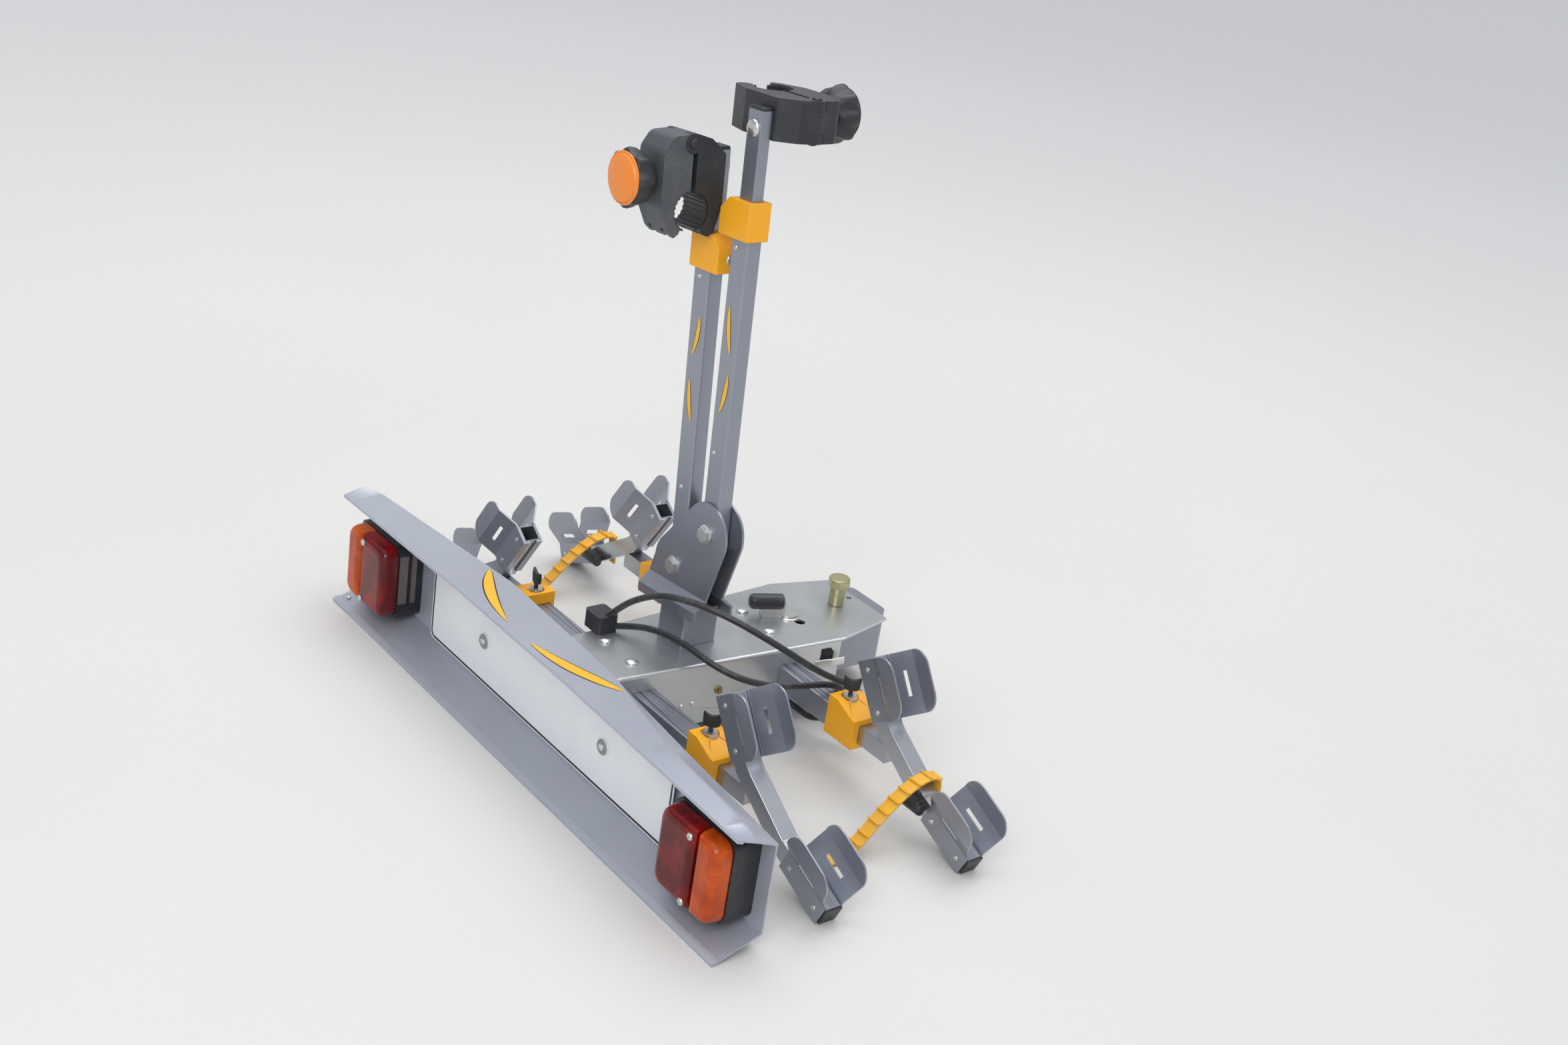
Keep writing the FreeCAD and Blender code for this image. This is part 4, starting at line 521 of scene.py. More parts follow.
# Stripes of the board: start, end, bow, width and width of the fill
BOARD_STRIPES = (((-158, 14), (-24, -40), -9, 16, 12.5), ((150, 2), (26, -42), 9, 19, 15.5))
STRIPE_TAPER = 0.75
OUTLINE_LIFT, FILL_LIFT = 0.2, 0.34


def board_top(x, y, lift):
    """Points on the board's upper flange, which runs straight from its rim to its ridge everywhere."""
    rim, reach, ridge, ridge_y = [np.interp(x, BOARD_STATIONS, values)
                                  for values in (BOARD_RIM, BOARD_REACH, BOARD_RIDGE, BOARD_RIDGE_Y)]
    share = (y + reach) / (ridge_y + reach)
    return np.stack([x, y + PLATE_Y, rim + (ridge - rim) * share + lift], -1)


def blade(start, end, bow, width, lift):
    """A slim tapered stripe on the board: an arc bowed by bow arch(t), as wide as arch(t) to a power."""
    t = np.linspace(0.0, 1.0, 70)[:, None]
    start, end = np.array(start, float), np.array(end, float)
    along = (end - start) / np.linalg.norm(end - start)
    off = np.array([-along[1], along[0]])
    middle = start + (end - start) * t + off * bow * arch(t)
    half = width / 2 * arch(t) ** STRIPE_TAPER * (1.25 - 0.5 * t)
    rows = [middle + off * half * side for side in (-1.0, -0.33, 0.33, 1.0)]
    return skin(np.stack([board_top(row[:, 0], row[:, 1], lift) for row in rows], 1), open_rings=True)


def make_board():
    """The folded light board and its stripes."""
    dress("board paint", 0.8, "light_board", bare=True, angle=50.0)
    outlines = [blade(start, end, bow, width, OUTLINE_LIFT) for start, end, bow, width, _ in BOARD_STRIPES]
    fills = [blade(start, end, bow, width, FILL_LIFT) for start, end, bow, _, width in BOARD_STRIPES]
    piece("board_stripe_outline", joined(*outlines), "decal outline", FIXED)
    piece("board_stripe", joined(*fills), "decal yellow", FIXED)


PLATE_TALL, PLATE_SCREW_X = 110, 130
PLATE_BORDER = ((1.8, 9, 0), (1.8, 9, 0.2), (4.6, 6.6, 0.2), (4.6, 6.6, 0))  # inset, corner radius, height
PLATE_CAP = [(9.2, -0.2), (9.2, 0.5), (8.4, 1.3), (6.2, 1.5), (5.4, 0.9), (AXIS, 0.9)]


def make_plate():
    """The blank number plate, its printed border and its two screws with their caps."""
    low, high = node_box("number_plate")
    dress("plate white", 0.4, "number_plate")
    rings = []
    for inset, radius, height in PLATE_BORDER:
        edge = rounded_outline(low[[0, 2]] + inset, high[[0, 2]] - inset, radius, 8)
        rings.append(np.column_stack([edge[:, 0], np.full(len(edge), PLATE_Y - 0.01 - height), edge[:, 1]]))
    piece("plate_border", skin(rings, looped=True), "plate border ink", FIXED, smooth=60)
    caps, screws = [], []
    for x in (-PLATE_SCREW_X, PLATE_SCREW_X):
        place = spot(x, -3.0, low[2] + PLATE_TALL * 0.52)
        caps.append(moved(spun(PLATE_CAP), place, BACKWARDS))
        screws.append(moved(spun(dome(5.0, 2.6)), place + (0, -0.8, 0), BACKWARDS))
    piece("plate_caps", joined(*caps), "grey plastic", FIXED)
    piece("plate_screws", joined(*screws), "zinc plating", FIXED)


def make_board_rivets():
    """Two rivets at the left end of the board's lower flange, square to its slope."""
    x, lowest, square = -408, 4.2, basis((0, -0.3, 0.95))
    rivets = []
    for y in (-38, -24):
        z = lowest + FLANGE_RISE * (y + FLANGE_REACH) / FLANGE_RUN
        rivets.append(moved(blind_rivet(3.0), spot(x, y, z), square))
    piece("board_rivets", joined(*rivets), "zinc plating", FIXED)


LENS_SPLIT, LENS_GAP = 364, 0.2  # where red meets amber, and half the gap between them
LENS_CORNER, LENS_EDGE = 14, 0.6
# How far out of the board's wall a lens goes, and how far it is drawn in there
LENS_LEVELS = [(28.2, 0.3), (28.5, 0), (40, 0.8), (45.4, 2.4), (48.2, 4.8), (49.3, 7.2), (49.6, 9.6),
               (50, 10.0)]
LENS_SCREW = [(4.2, -1.6), (4.2, 0.4), (3.5, 1.3), (1.5, 1.5), (1.3, 0.6), (AXIS, 0.5)]
LENS_SCREW_X, LENS_SCREW_Y, LENS_SCREW_HEIGHTS = 356, -49.8, (35, 113)
WINDOW_X, WINDOW_PANES, WINDOW_PITCH = -299.9, ((-27, -15.5), (-10.5, -3.5)), 0.75
WINDOW_LEVELS = ((47, 0), (48, 1), (113, 1), (114, 0))  # height, and share of the thickness there


def lens_panel(low, high, radii):
    """One colour of a lens: rounded rectangles drawn in towards its face, which looks backwards."""
    points, faces = stacked(low, high, radii, LENS_LEVELS, 8)
    return np.column_stack([points[:, 0], -points[:, 2] + PLATE_Y, points[:, 1]]), faces


def make_lamps():
    """Two rear lamps: red and amber lenses over black housings, and their screws."""
    screws = []
    for side, way in SIDES.items():
        (x0, _, z0), (x1, _, z1) = node_box("lamp_lens_" + side)
        split, gap = LENS_SPLIT * way, LENS_GAP * way
        near, far = sorted((x0, x1), key=abs)
        for colour, ends in (("red", (near, split - gap)), ("amber", (split + gap, far))):
            left, right = sorted(ends)
            at_left = abs(left - x0) < 1
            radii = np.where([at_left, not at_left, not at_left, at_left], LENS_CORNER, LENS_EDGE)
            piece("lens_%s_%s" % (colour, side), lens_panel((left, z0), (right, z1), radii),
                  colour + " acrylic", FIXED, smooth=30, replaces=("lamp_lens_" + side,))
        screws += [moved(spun(LENS_SCREW, 20), spot(LENS_SCREW_X * way, LENS_SCREW_Y, z), BACKWARDS)
                   for z in LENS_SCREW_HEIGHTS]
    piece("lens_screws", joined(*screws), "zinc plating", FIXED)
    dress("lamp housing plastic", 1.2, "lamp_housing_left", "lamp_housing_right")


def make_lamp_window():
    """The left lamp's clear window: two panes that stand 0.8 and 1.15 mm proud in turn, with backs."""
    shapes = []
    for start, end in WINDOW_PANES:
        across = np.linspace(start, end, 2 * int((end - start) / WINDOW_PITCH) + 1)
        rise = 0.8 + 0.35 * (np.arange(len(across)) % 2)
        rise[[0, -1]] = 0.0
        rows = [np.stack([WINDOW_X + share * rise, across + PLATE_Y, np.full(len(across), z)], -1)
                for z, share in WINDOW_LEVELS]
        shapes.append(skin(rows, open_rings=True))
        bottom, top = WINDOW_LEVELS[0][0], WINDOW_LEVELS[-1][0]
        back = [spot(WINDOW_X, y, z) for y, z in ((start, bottom), (end, bottom), (end, top), (start, top))]
        shapes.append((np.array(back), [[0, 1, 2, 3]]))
    piece("lamp_window", joined(*shapes), "milky lens", FIXED, smooth=20)


# The cover's side walls: half its width at its back, and how much they spread over their run
COVER_HALF, COVER_BACK, COVER_SPREAD, COVER_RUN = 57, 70, 23, 307
COVER_RIVETS = ((155, 55), (170, 56))
EARTH_SCREW = [(AXIS, -1.0), (5.4, -1.0), (5.4, 1.0), (4.9, 1.5), (2.4, 1.7), (2.2, 5.5), (AXIS, 5.8)]
EARTH_SCREW_AT = (203, 69)
LATCH_SLOT, LATCH_AT = [(-10, -8), (9, -8), (9, 3), (4, 9), (-10, 9)], (358, 90)
LATCH_RIMS = ((1.0, 0.06), (1.0, 0.4), (0.86, 0.4), (0.84, 0.1))  # share of the slot's size, and height
LATCH_TAB = ((346, 79, 0.5), (354, 81, 4.0), (362, 82, 8.0), (372, 83, 9.0))
WELD_AHEAD, WELD_HALF, WELD_SQUARE, WELD_RADIUS = 196, 26.0, 8, 1.3


def cover_side(y, z, off=0):
    """A point off the right side wall of the cover, whose half width grows evenly from its back."""
    return spot(COVER_HALF + COVER_SPREAD * (y - COVER_BACK) / COVER_RUN + off, y, z)


def weld_bead():
    """The weld at the post's foot: a rippled tube round the soft square |x|^n + |y|^n = half^n."""
    angle = np.linspace(0, 2 * math.pi, 160, endpoint=False)
    reach = WELD_HALF / (np.abs(np.cos(angle)) ** WELD_SQUARE
                         + np.abs(np.sin(angle)) ** WELD_SQUARE) ** (1 / WELD_SQUARE)
    path = ring(angle, reach, COVER_TOP + 0.3) + spot(0, WELD_AHEAD, 0)
    tube = WELD_RADIUS + 0.35 * np.sin(angle * 47) + 0.25 * np.sin(angle * 31 + 1.0)
    turned = np.radians(np.arange(0, 360, 45))[None, :, None]
    outwards = np.cos(turned) * ring(angle, 1.0, 0)[:, None] + np.sin(turned) * np.array([0, 0, 1.0])
    return skin(path[:, None] + tube[:, None, None] * outwards, looped=True)


def make_chassis():
    """The cover with its weld, rivets, earth screw and latch, the crossbars and the cable holder."""
    # the cover's bends get the bright edge finish as a painted highlight
    dress("cover lacquer", 1.2, "chassis_cover", bare=True, angle=50.0)
    dress("silver paint", 0.8, "coupling_housing")
    dress("silver paint", 1.2, "crossbar_rear", "crossbar_front")
    dress("zinc plating", 0.3, "crossbar_bolts")
    dress("zinc plating", 0.5, "lever_plate")
    dress("black plastic", 4.0, "cable_holder", segments=4)
    piece("post_weld", weld_bead(), "silver paint", FIXED, smooth=80)
    sideways = basis((1, -0.075, 0))
    rivets = [moved(blind_rivet(4.0), cover_side(y, z), sideways) for y, z in COVER_RIVETS]
    piece("cover_rivets", joined(*rivets), "zinc plating", FIXED)
    piece("earth_screw", moved(spun(EARTH_SCREW, 24), cover_side(*EARTH_SCREW_AT), sideways), "brass", FIXED)
    y, z = LATCH_AT
    rims = [[cover_side(y + a * share, z + b * share, off) for a, b in LATCH_SLOT]
            for share, off in LATCH_RIMS]
    piece("latch_slot", skin(rims), "slot shadow", FIXED, smooth=20)
    path = smooth_path([cover_side(*place) for place in LATCH_TAB])
    tab = swept(path, bar_section(1.2, 5, 1.0, 2), (1, 0, 0))
    piece("latch_tab", tab, "zinc plating", FIXED, smooth=50)


BOLT_AHEAD, BOLT_HEAD_RISE, BOLT_TOP_RISE = 432, 26, 34.5
BOLT_SHANK = [(8, -23), (8, 0.5), (10, 0.6), (10, 14), (9.2, 14.6), (9.2, 16.4), (10, 17), (10, 27),
              (AXIS, 27)]
BOLT_TOP = [(11.0, 0), (13.4, 0.5), (13.8, 2.0), (12.5, 3.2), (AXIS, 3.6)]
LEVER_X, LEVER_AHEAD, GRIP_RISE, GRIP_ANGLE, GRIP_OFF = 2, 352, 19, math.radians(247), 9
GRIP = [(6.0, -1.0), (9.0, 0.0), (10.0, 1.5), (10.0, 36), (9.6, 39.5), (8.2, 42.2), (5.5, 43.6), (AXIS, 44)]
LEVER_WASHER = [(15.5, -0.1), (15.5, 1.0), (14.5, 1.6), (13.4, 1.6), (13.4, 0.2)]


def make_controls():
    """The coupling's setting bolt, and the locking lever's rubber grip and washer."""
    seat = spot(0, BOLT_AHEAD, COVER_TOP)
    bolt = joined(moved(spun(BOLT_SHANK), seat),
                  moved(hexagon_nut(12.6, 9.0), seat + (0, 0, BOLT_HEAD_RISE)),
                  moved(spun(BOLT_TOP), seat + (0, 0, BOLT_TOP_RISE)))
    piece("setting_bolt_shown", bolt, "yellow passivated zinc", "setting_bolt", replaces=("setting_bolt",))
    way = np.array([math.cos(GRIP_ANGLE), math.sin(GRIP_ANGLE), 0])
    start = spot(LEVER_X, LEVER_AHEAD, COVER_TOP + GRIP_RISE) + way * GRIP_OFF
    piece("lever_grip_shown", moved(spun(GRIP), start, basis(way)), "cable rubber", "lever",
          replaces=("lever_grip",))
    washer = moved(spun(LEVER_WASHER), spot(LEVER_X, LEVER_AHEAD, COVER_TOP))
    piece("lever_washer", washer, "zinc plating", FIXED)


HEAD_FACE = 13.55  # from the middle of the head to its plates' outer faces
PIVOT_WASHER = [(5.3, 0), (11.5, 0), (11.5, 1.1), (11.0, 1.4), (5.3, 1.4)]


def make_head():
    """Post, head plates and the pivot bolts with their washers."""
    dress("silver paint", 0.0, "post")
    dress("silver paint", 0.5, "head_plates", bare=True, angle=60.0)
    dress("zinc plating", 0.5, "pivot_bolt_left", "pivot_bolt_right")
    washers = []
    for side in SIDES:
        pivot = np.array(JOINTS[side + "_arm_fold"]["pos_m"]) / MM
        washers += [moved(spun(PIVOT_WASHER), pivot + (0, face * HEAD_FACE, 0), basis((0, face, 0)))
                    for face in (-1, 1)]
    piece("pivot_washers", joined(*washers), "zinc plating", FIXED)


# Each arm: top of its inner tube and length of its outer one from the pivot, place of its rivets off the
# middle, side of its knob screw, lean of its stripes, and their lower and upper ends
ARMS = {"left": (494.5, 382, -3.0, 1, 9, ((257, 306), (178, 230))),
        "right": (488, 369, -5.5, -1, -9, ((215, 272), (146, 194)))}
ARM_CAP = [(-2, 0.9), (0, 0.9), (0.05, 0), (2.4, 0), (3.4, 1.0)]  # height and inset
ARM_FACE, LOW_RIVET, TOP_RIVET_DROP = -10, 98, 32
ARM_STRIPE, ARM_STRIPE_FILL = 8.6, 6.6
COLLAR_SCREW_X, COLLAR_SCREW_AHEAD, COLLAR_SCREW_DROP = 34, 3, 6


def arm_frame(side):
    """Origin and axes of an arm: its pivot, X across, Y forward and Z along the arm."""
    up = np.array(JOINTS[side + "_arm_telescope"]["axis"], float)
    axes = np.stack([(up[2], 0, -up[0]), (0, 1, 0), up], 1)
    return np.array(JOINTS[side + "_arm_fold"]["pos_m"]) / MM, axes


def arm_blade(low, high, width, lean, lift):
    """A slim stripe on the arm's rear face, as wide as arch(t) to a power, leaning and bowed by arch(t)."""
    t = np.linspace(0, 1, 30)
    half = width / 2 * arch(t) ** STRIPE_TAPER
    centre = lean * (t - 0.5) + 0.3 * lean * arch(t)
    rows = [np.stack([centre + half * side, np.full(len(t), ARM_FACE - lift), low + (high - low) * t], -1)
            for side in (-1, 1)]
    return skin(np.stack(rows, 1), open_rings=True)


def make_arms():
    """Arms, their collars, caps, rivets and stripes."""
    dress("silver paint", 0.0, "arm_left", "arm_right")
    dress("silver paint", 0.8, "arm_inner_left", "arm_inner_right")
    dress("yellow plastic", 1.0, "arm_collar_left", "arm_collar_right")
    dress("zinc plating", 0.3, "swivel_bolt_left", "swivel_bolt_right")
    for side, (top, length, rivet_x, boss, lean, (upper, lower)) in ARMS.items():
        place = arm_frame(side)
        cap = moved(stacked((-12.2, -7.0), (12.2, 7.0), 2.5, ARM_CAP), (0, 0, top))
        piece("arm_cap_" + side, moved(cap, *place), "black plastic", "arm_inner_" + side)
        heads = [moved(blind_rivet(2.8), (rivet_x, ARM_FACE + 0.1, z), BACKWARDS)
                 for z in (length - TOP_RIVET_DROP, LOW_RIVET)]
        heads.append(moved(spun(dome(6.5, 4.0)),
                           (COLLAR_SCREW_X * boss, COLLAR_SCREW_AHEAD, length - COLLAR_SCREW_DROP),
                           basis((boss, 0, 0))))
        piece("arm_screws_" + side, moved(joined(*heads), *place), "zinc plating", "arm_" + side)
        for name, width, lift, finish in (("arm_stripe_outline_", ARM_STRIPE, 0.12, "decal outline"),
                                          ("arm_stripe_", ARM_STRIPE_FILL, 0.22, "decal yellow")):
            stripes = joined(arm_blade(*upper, width, lean, lift), arm_blade(*lower, width, -lean, lift))
            piece(name + side, moved(stripes, *place), finish, "arm_" + side)


# Places on a clamp, along its jaws and off its arm; the swivel lies at SWIVEL along the jaws
SWIVEL, ROD, HOLE, HOLE_OFF, PIN_OFF, PIN_OUT = 29, 39, 74, 41, 44, 23
RIGHT_SWIVEL_RISE = 12
PAD_INNER, PAD_RIB, PAD_OUTER, PAD_HALF, PAD_RIBS = 20.6, 0.9, 23.0, 21.5, 24
KNOB_SEAT, KNOB_TALL, KNOB_LOBES = 89, 27, 8
# Height, radius and depth of the lobes
KNOB_LEVELS = ((0.0, 8, 0), (0.0, 20, 0), (1.5, 23, 1.5), (7, 28, 3.0), (15, 32, 4.2), (22, 33.2, 4.4),
               (25.5, 32.4, 3.6), (27, 30.4, 2.0))
KNOB_STEM = [(8, 83.1), (8, 89.5), (AXIS, 89.5)]
KNOB_CAP = [(28.6, 0.05), (29, 0.6), (29, 1.8), (28.2, 2.4), (27.2, 2.6), (26.8, 2.2), (26.4, 2.5),
            (25.4, 4.2), (21, 5.7), (14, 6.7), (6, 7.0), (AXIS, 7.05)]


def clamp_frame(side):
    """Origin and axes of a clamp: X along the jaws to their tips, Y off the arm, Z across the jaws."""
    origin = np.array(JOINTS[side + "_clamp_swivel"]["pos_m"]) / MM
    _, axes = arm_frame(side)
    if side == "left":
        return origin, np.stack([-axes[:, 2], -axes[:, 1], -axes[:, 0]], 1)
    return origin + axes[:, 2] * RIGHT_SWIVEL_RISE, np.stack([-axes[:, 0], axes[:, 1], -axes[:, 2]], 1)


def hole_pad(start):
    """Ribbed rubber pad on an arc of the frame hole: its inner radius steps in and out with sin(ribs a)."""
    arc = 150
    angle = np.radians(np.linspace(start, start + arc, 121))
    inner = PAD_INNER + PAD_RIB * (0.5 + 0.5 * np.sign(np.sin(angle * PAD_RIBS)))
    outer = np.full(len(angle), PAD_OUTER)
    corners = [ring(angle, radius, z) for radius, z in ((inner, -PAD_HALF), (outer, -PAD_HALF),
                                                        (outer, PAD_HALF), (inner, PAD_HALF))]
    return moved(skin(np.stack(corners, 1)), (HOLE - SWIVEL, HOLE_OFF, 0.0))


def knob():
    """A knob that widens upwards, with lobes: r = radius - depth (1 - (1 + cos(lobes a)) / 2)."""
    angle = np.radians(np.arange(0, 360, 3))
    lobes = 0.5 + 0.5 * np.cos(angle * KNOB_LOBES)
    rings = [ring(angle, radius - depth * (1 - lobes), KNOB_SEAT + height)
             for height, radius, depth in KNOB_LEVELS]
    return joined(skin(rings), spun(KNOB_STEM))


def make_clamps():
    """The frame clamps: both jaws, their pads, hinge pins, screws and knobs."""
    for side in SIDES:
        place = clamp_frame(side)
        origin, axes = place
        jaw, cap = ("faded black plastic", "orange plastic") if side == "left" else ("black plastic",) * 2
        dress("black plastic", 1.0, "clamp_base_" + side)
        dress(jaw, 1.4, "clamp_jaw_" + side)
        dress("zinc plating", 0.2, "clamp_rod_" + side)
        for pad, start, body in (("pad_fixed_", -172, "clamp_"), ("pad_moving_", 22, "jaw_")):
            piece(pad + side, moved(hole_pad(start), *place), "cable rubber", body + side, smooth=25)
        pins = [moved(spun(dome(5.6, 3.4)), (-SWIVEL, PIN_OFF, PIN_OUT * end), basis((0, 0, end)))
                for end in (-1, 1)]
        piece("hinge_pins_" + side, moved(joined(*pins), *place), "black plastic", "clamp_" + side)
        rod = (origin + axes[:, 0] * (ROD - SWIVEL), np.stack([axes[:, 0], -axes[:, 2], axes[:, 1]], 1))
        piece("knob_" + side, moved(knob(), *rod), "black plastic", "knob_" + side,
              replaces=("clamp_knob_" + side,))
        piece("knob_cap_" + side, moved(moved(spun(KNOB_CAP, 64), (0, 0, KNOB_SEAT + KNOB_TALL)), *rod), cap,
              "knob_" + side, replaces=("clamp_cap_" + side,))


COLLAR_X, COLLAR_SEAT = 186, 97.3
COLLAR_SHANK = [(4, -15), (4, 0.5), (AXIS, 0.5)]
COLLAR_WASHER = [(4.6, -0.02), (9.8, 0.0), (9.8, 0.9), (4.6, 0.9)]
WING_STEM = [(3.2, 5.6), (2.6, 8), (2.6, 15), (AXIS, 15)]
WING_LEAN = {"left": math.radians(-10), "right": math.radians(45)}


def wing():
    """A wing on its stem, t from -1 to 1: top = 25.5 + 5.5 t^2 - 1.5 |t|^10, low = 12.5 + 2.5 |t|^3."""
    t = np.linspace(-1, 1, 25)
    top = 25.5 + 5.5 * t * t - 1.5 * np.abs(t) ** 10
    low = 12.5 + 2.5 * np.abs(t) ** 3
    half = 3.5 - 1.6 * t * t
    wide = t * 10.6
    waist = 0.5 * (top + low)
    corners = ((0.9, -1, low), (0.9, 1, low), (0.96, 1.1, waist), (1, 0.62, top), (1, -0.62, top),
               (0.96, -1.1, waist))
    rings = np.stack([np.stack([wide * share, half * thick, z], -1) for share, thick, z in corners], 1)
    return joined(skin(rings), spun(WING_STEM, 16))


def make_collars():
    """Yellow collars on the crossbars with their hexagon screws and black wings."""
    for which, y in RAILS.items():
        for side, way in SIDES.items():
            dress("yellow plastic", 1.0, "bar_collar_%s_%s" % (which, side))
            seat = spot(COLLAR_X * way, y, COLLAR_SEAT)
            screw = moved(joined(spun(COLLAR_SHANK), hexagon_nut(8, 6), spun(COLLAR_WASHER)), seat)
            name = "clamp_screw_%s_%s" % (which, side)
            piece(name + "_hex", screw, "zinc plating", name, replaces=(name,))
            cos, sin = math.cos(WING_LEAN[side]), math.sin(WING_LEAN[side])
            turn = np.array([[cos, -sin, 0], [sin, cos, 0], [0, 0, 1]])
            piece(name + "_wing", moved(wing(), seat, turn), "black plastic", name, smooth=45)


# A cradle's tube falls outwards in three runs, and its middle one starts at the bend
STEEP, MIDDLE, FLAT = (math.radians(angle) for angle in (55.4, 33.0, 23.5))
INNER_RUN, MIDDLE_RUN, OUTER_RUN, TUBE_HALF = 84.0, 90.0, 90.0, 13.25
BEND = (260.0, MIDDLE_RUN * math.sin(MIDDLE) + OUTER_RUN * math.sin(FLAT) + TUBE_HALF * math.cos(FLAT))
GUIDE_LONG, GUIDE_RIVETS, RIVET_OUT = 74, (12, 62), 13.2


def down(start, slope, along):
    """The point (x + a cos s, z - a sin s) on a run that falls outwards from its start."""
    return start[0] + along * math.cos(slope), start[1] - along * math.sin(slope)


def make_cradles():
    """Cradles, guides with bright edges of bare metal and painted highlight, end plugs and rivets."""
    tip = down(down(BEND, MIDDLE, MIDDLE_RUN), FLAT, OUTER_RUN)
    starts = ((down(BEND, STEEP, -INNER_RUN), STEEP), (down(tip, FLAT, -GUIDE_LONG), FLAT))
    for which, y in RAILS.items():
        for side, way in SIDES.items():
            name = "%s_%s" % (which, side)
            dress("tube paint", 0.9, "cradle_" + name)
            dress("silver paint", 1.0, "guides_" + name, bare=True, angle=60.0)
            dress("black plastic", 0.6, "end_plug_" + name)
            heads = []
            for start, slope in starts:
                for along in GUIDE_RIVETS:
                    x, z = down(start, slope, along)
                    heads += [moved(blind_rivet(3.2), spot(x * way, y + face * RIVET_OUT, z),
                                    basis((0, face, 0))) for face in (-1, 1)]
            piece("guide_rivets_" + name, joined(*heads), "zinc plating", "cradle_" + name)


STRAP_X, STRAP_HALF, STRAP_HALF_THICK = 333, 9, 1.5
STRAP_ROUTE = [(315.8, 46), (315.8, 69), (309, 76.5), (297, 77.5), (282, 74), (266, 65), (248, 52),
               (230, 36.5), (213, 20), (196, 7), (180, 3.5), (160, 3.5)]
FIRST_TOOTH, TOOTH_PITCH, TOOTH_COUNT = 38, 16, 9
TOOTH = [(-2.4, 1.0), (2.0, 1.0), (1.4, 4.3), (0.2, 4.6)]  # along the strap, and off its middle
TOOTH_END = [(-2.16, 1.0), (1.8, 1.0), (1.26, 4.0), (0.18, 4.0)]
BUCKLE_BLOCK = [(0.3, 0), (0.35, 0), (9, 0), (11.5, 1.5), (12, 3)]  # height and inset
BUCKLE_PIN = [(5.5, -17), (6, -16), (6, 16), (5.5, 17), (AXIS, 17)]
RAIL_FACE = 11


def strap(x):
    """A toothed strap: a flat bar along its route, with a wedge across it every tooth pitch."""
    path = smooth_path([spot(x, y, z) for y, z in STRAP_ROUTE], 8)
    shapes = [swept(path, bar_section(STRAP_HALF, STRAP_HALF_THICK, 1.2, 3), (1, 0, 0))]
    run = np.concatenate([[0], np.cumsum(np.linalg.norm(np.diff(path, axis=0), axis=1))])
    ahead = directions(path)
    across = np.array([1.0, 0, 0])
    rings = [[(wide, a, b) for a, b in section]
             for wide, section in ((-9, TOOTH_END), (-8.6, TOOTH), (8.6, TOOTH), (9, TOOTH_END))]
    for tooth in range(TOOTH_COUNT):
        i = int(np.searchsorted(run, FIRST_TOOTH + tooth * TOOTH_PITCH))
        up = np.cross(ahead[i], across)
        up = up if up[2] > 0 or up[1] > 0.9 else -up
        shapes.append(moved(skin(rings), path[i], np.stack([across, ahead[i], up], 1)))
    return joined(*shapes)


def buckle():
    """A buckle: a crowned block, a pin across it and two hooks."""
    hooks = [swept(smooth_path([(a, -4, 8), (a * 1.35, -6, 10), (a * 1.6, -2, 11), (a * 1.7, 3, 9)]),
                   bar_section(1.6, 1.6, 1.0, 2), (0, 0, 1)) for a in (-10, 10)]
    pin = moved(spun(BUCKLE_PIN, 24), (0, -4, 10), basis((1, 0, 0)))
    return joined(stacked((-11, -12), (11, 4), 3, BUCKLE_BLOCK), pin, *hooks)


def make_straps():
    """Toothed straps over the front cradles, with the buckle and its hooks on the rear face."""
    rail_z = BEND[1] - (STRAP_X - BEND[0]) * math.tan(MIDDLE)
    facing = np.array([[1.0, 0, 0], [0, 0, -1.0], [0, 1.0, 0]])
    for side, way in SIDES.items():
        x = STRAP_X * way
        piece("strap_" + side, strap(x), "strap yellow", "cradle_front_" + side,
              replaces=("wheel_strap_" + side,))
        piece("buckle_" + side, moved(buckle(), spot(x, RAILS["front"] - RAIL_FACE, rail_z), facing),
              "black plastic", "cradle_front_" + side)


# Stage

def make_camera():
    """The reference viewpoint: where the camera stood, how it was turned, and its lens."""
    data = bpy.data.cameras.new("viewpoint")
    data.sensor_width = 36.0
    data.lens = 42.86
    data.clip_start = 0.05
    camera = placed("viewpoint", data)
    camera.location = (1.5516, -1.2754, 1.1447)
    camera.rotation_euler = tuple(math.radians(angle) for angle in (66.176, -8.458, 52.069))
    bpy.context.scene.camera = camera


def lamp_light(name, place, target, size, power):
    """A square soft lamp that faces its target."""
    data = bpy.data.lights.new(name, "AREA")
    data.size = size
    data.energy = power
    turn = basis(np.array(place, float) - np.array(target, float))
    matrix = Matrix([list(row) + [0] for row in turn] + [[0, 0, 0, 1]])
    matrix.translation = place
    placed(name, data).matrix_world = matrix


def make_floor():
    """A wide pale floor with faint clouds that grows paler away from the carrier."""
    mesh = bpy.data.meshes.new("floor")
    reach = 30.0
    corners = [(-reach, -reach, 0), (reach, -reach, 0), (reach, reach, 0), (-reach, reach, 0)]
    mesh.from_pydata(corners, [], [(0, 1, 2, 3)])
    floor = placed("floor", mesh)
    made, tree, shader = new_material("pale floor")
    where = put(tree, "ShaderNodeTexCoord").outputs["Object"]
    cloud = span(tree, noise(tree, where, 1.5, 2.0), 0.3, 0.7)
    away = put(tree, "ShaderNodeVectorMath", {0: where}, operation="LENGTH").outputs["Value"]
    near = mix(tree, cloud, tone(210, 209, 206), tone(213, 212, 209))
    feed(tree, shader, {"Base Color": mix(tree, span(tree, away, 0.9, 4.5), near, tone(236, 236, 236)),
                        "Roughness": 0.9, "Specular IOR Level": 0.15})
    mesh.materials.append(made)


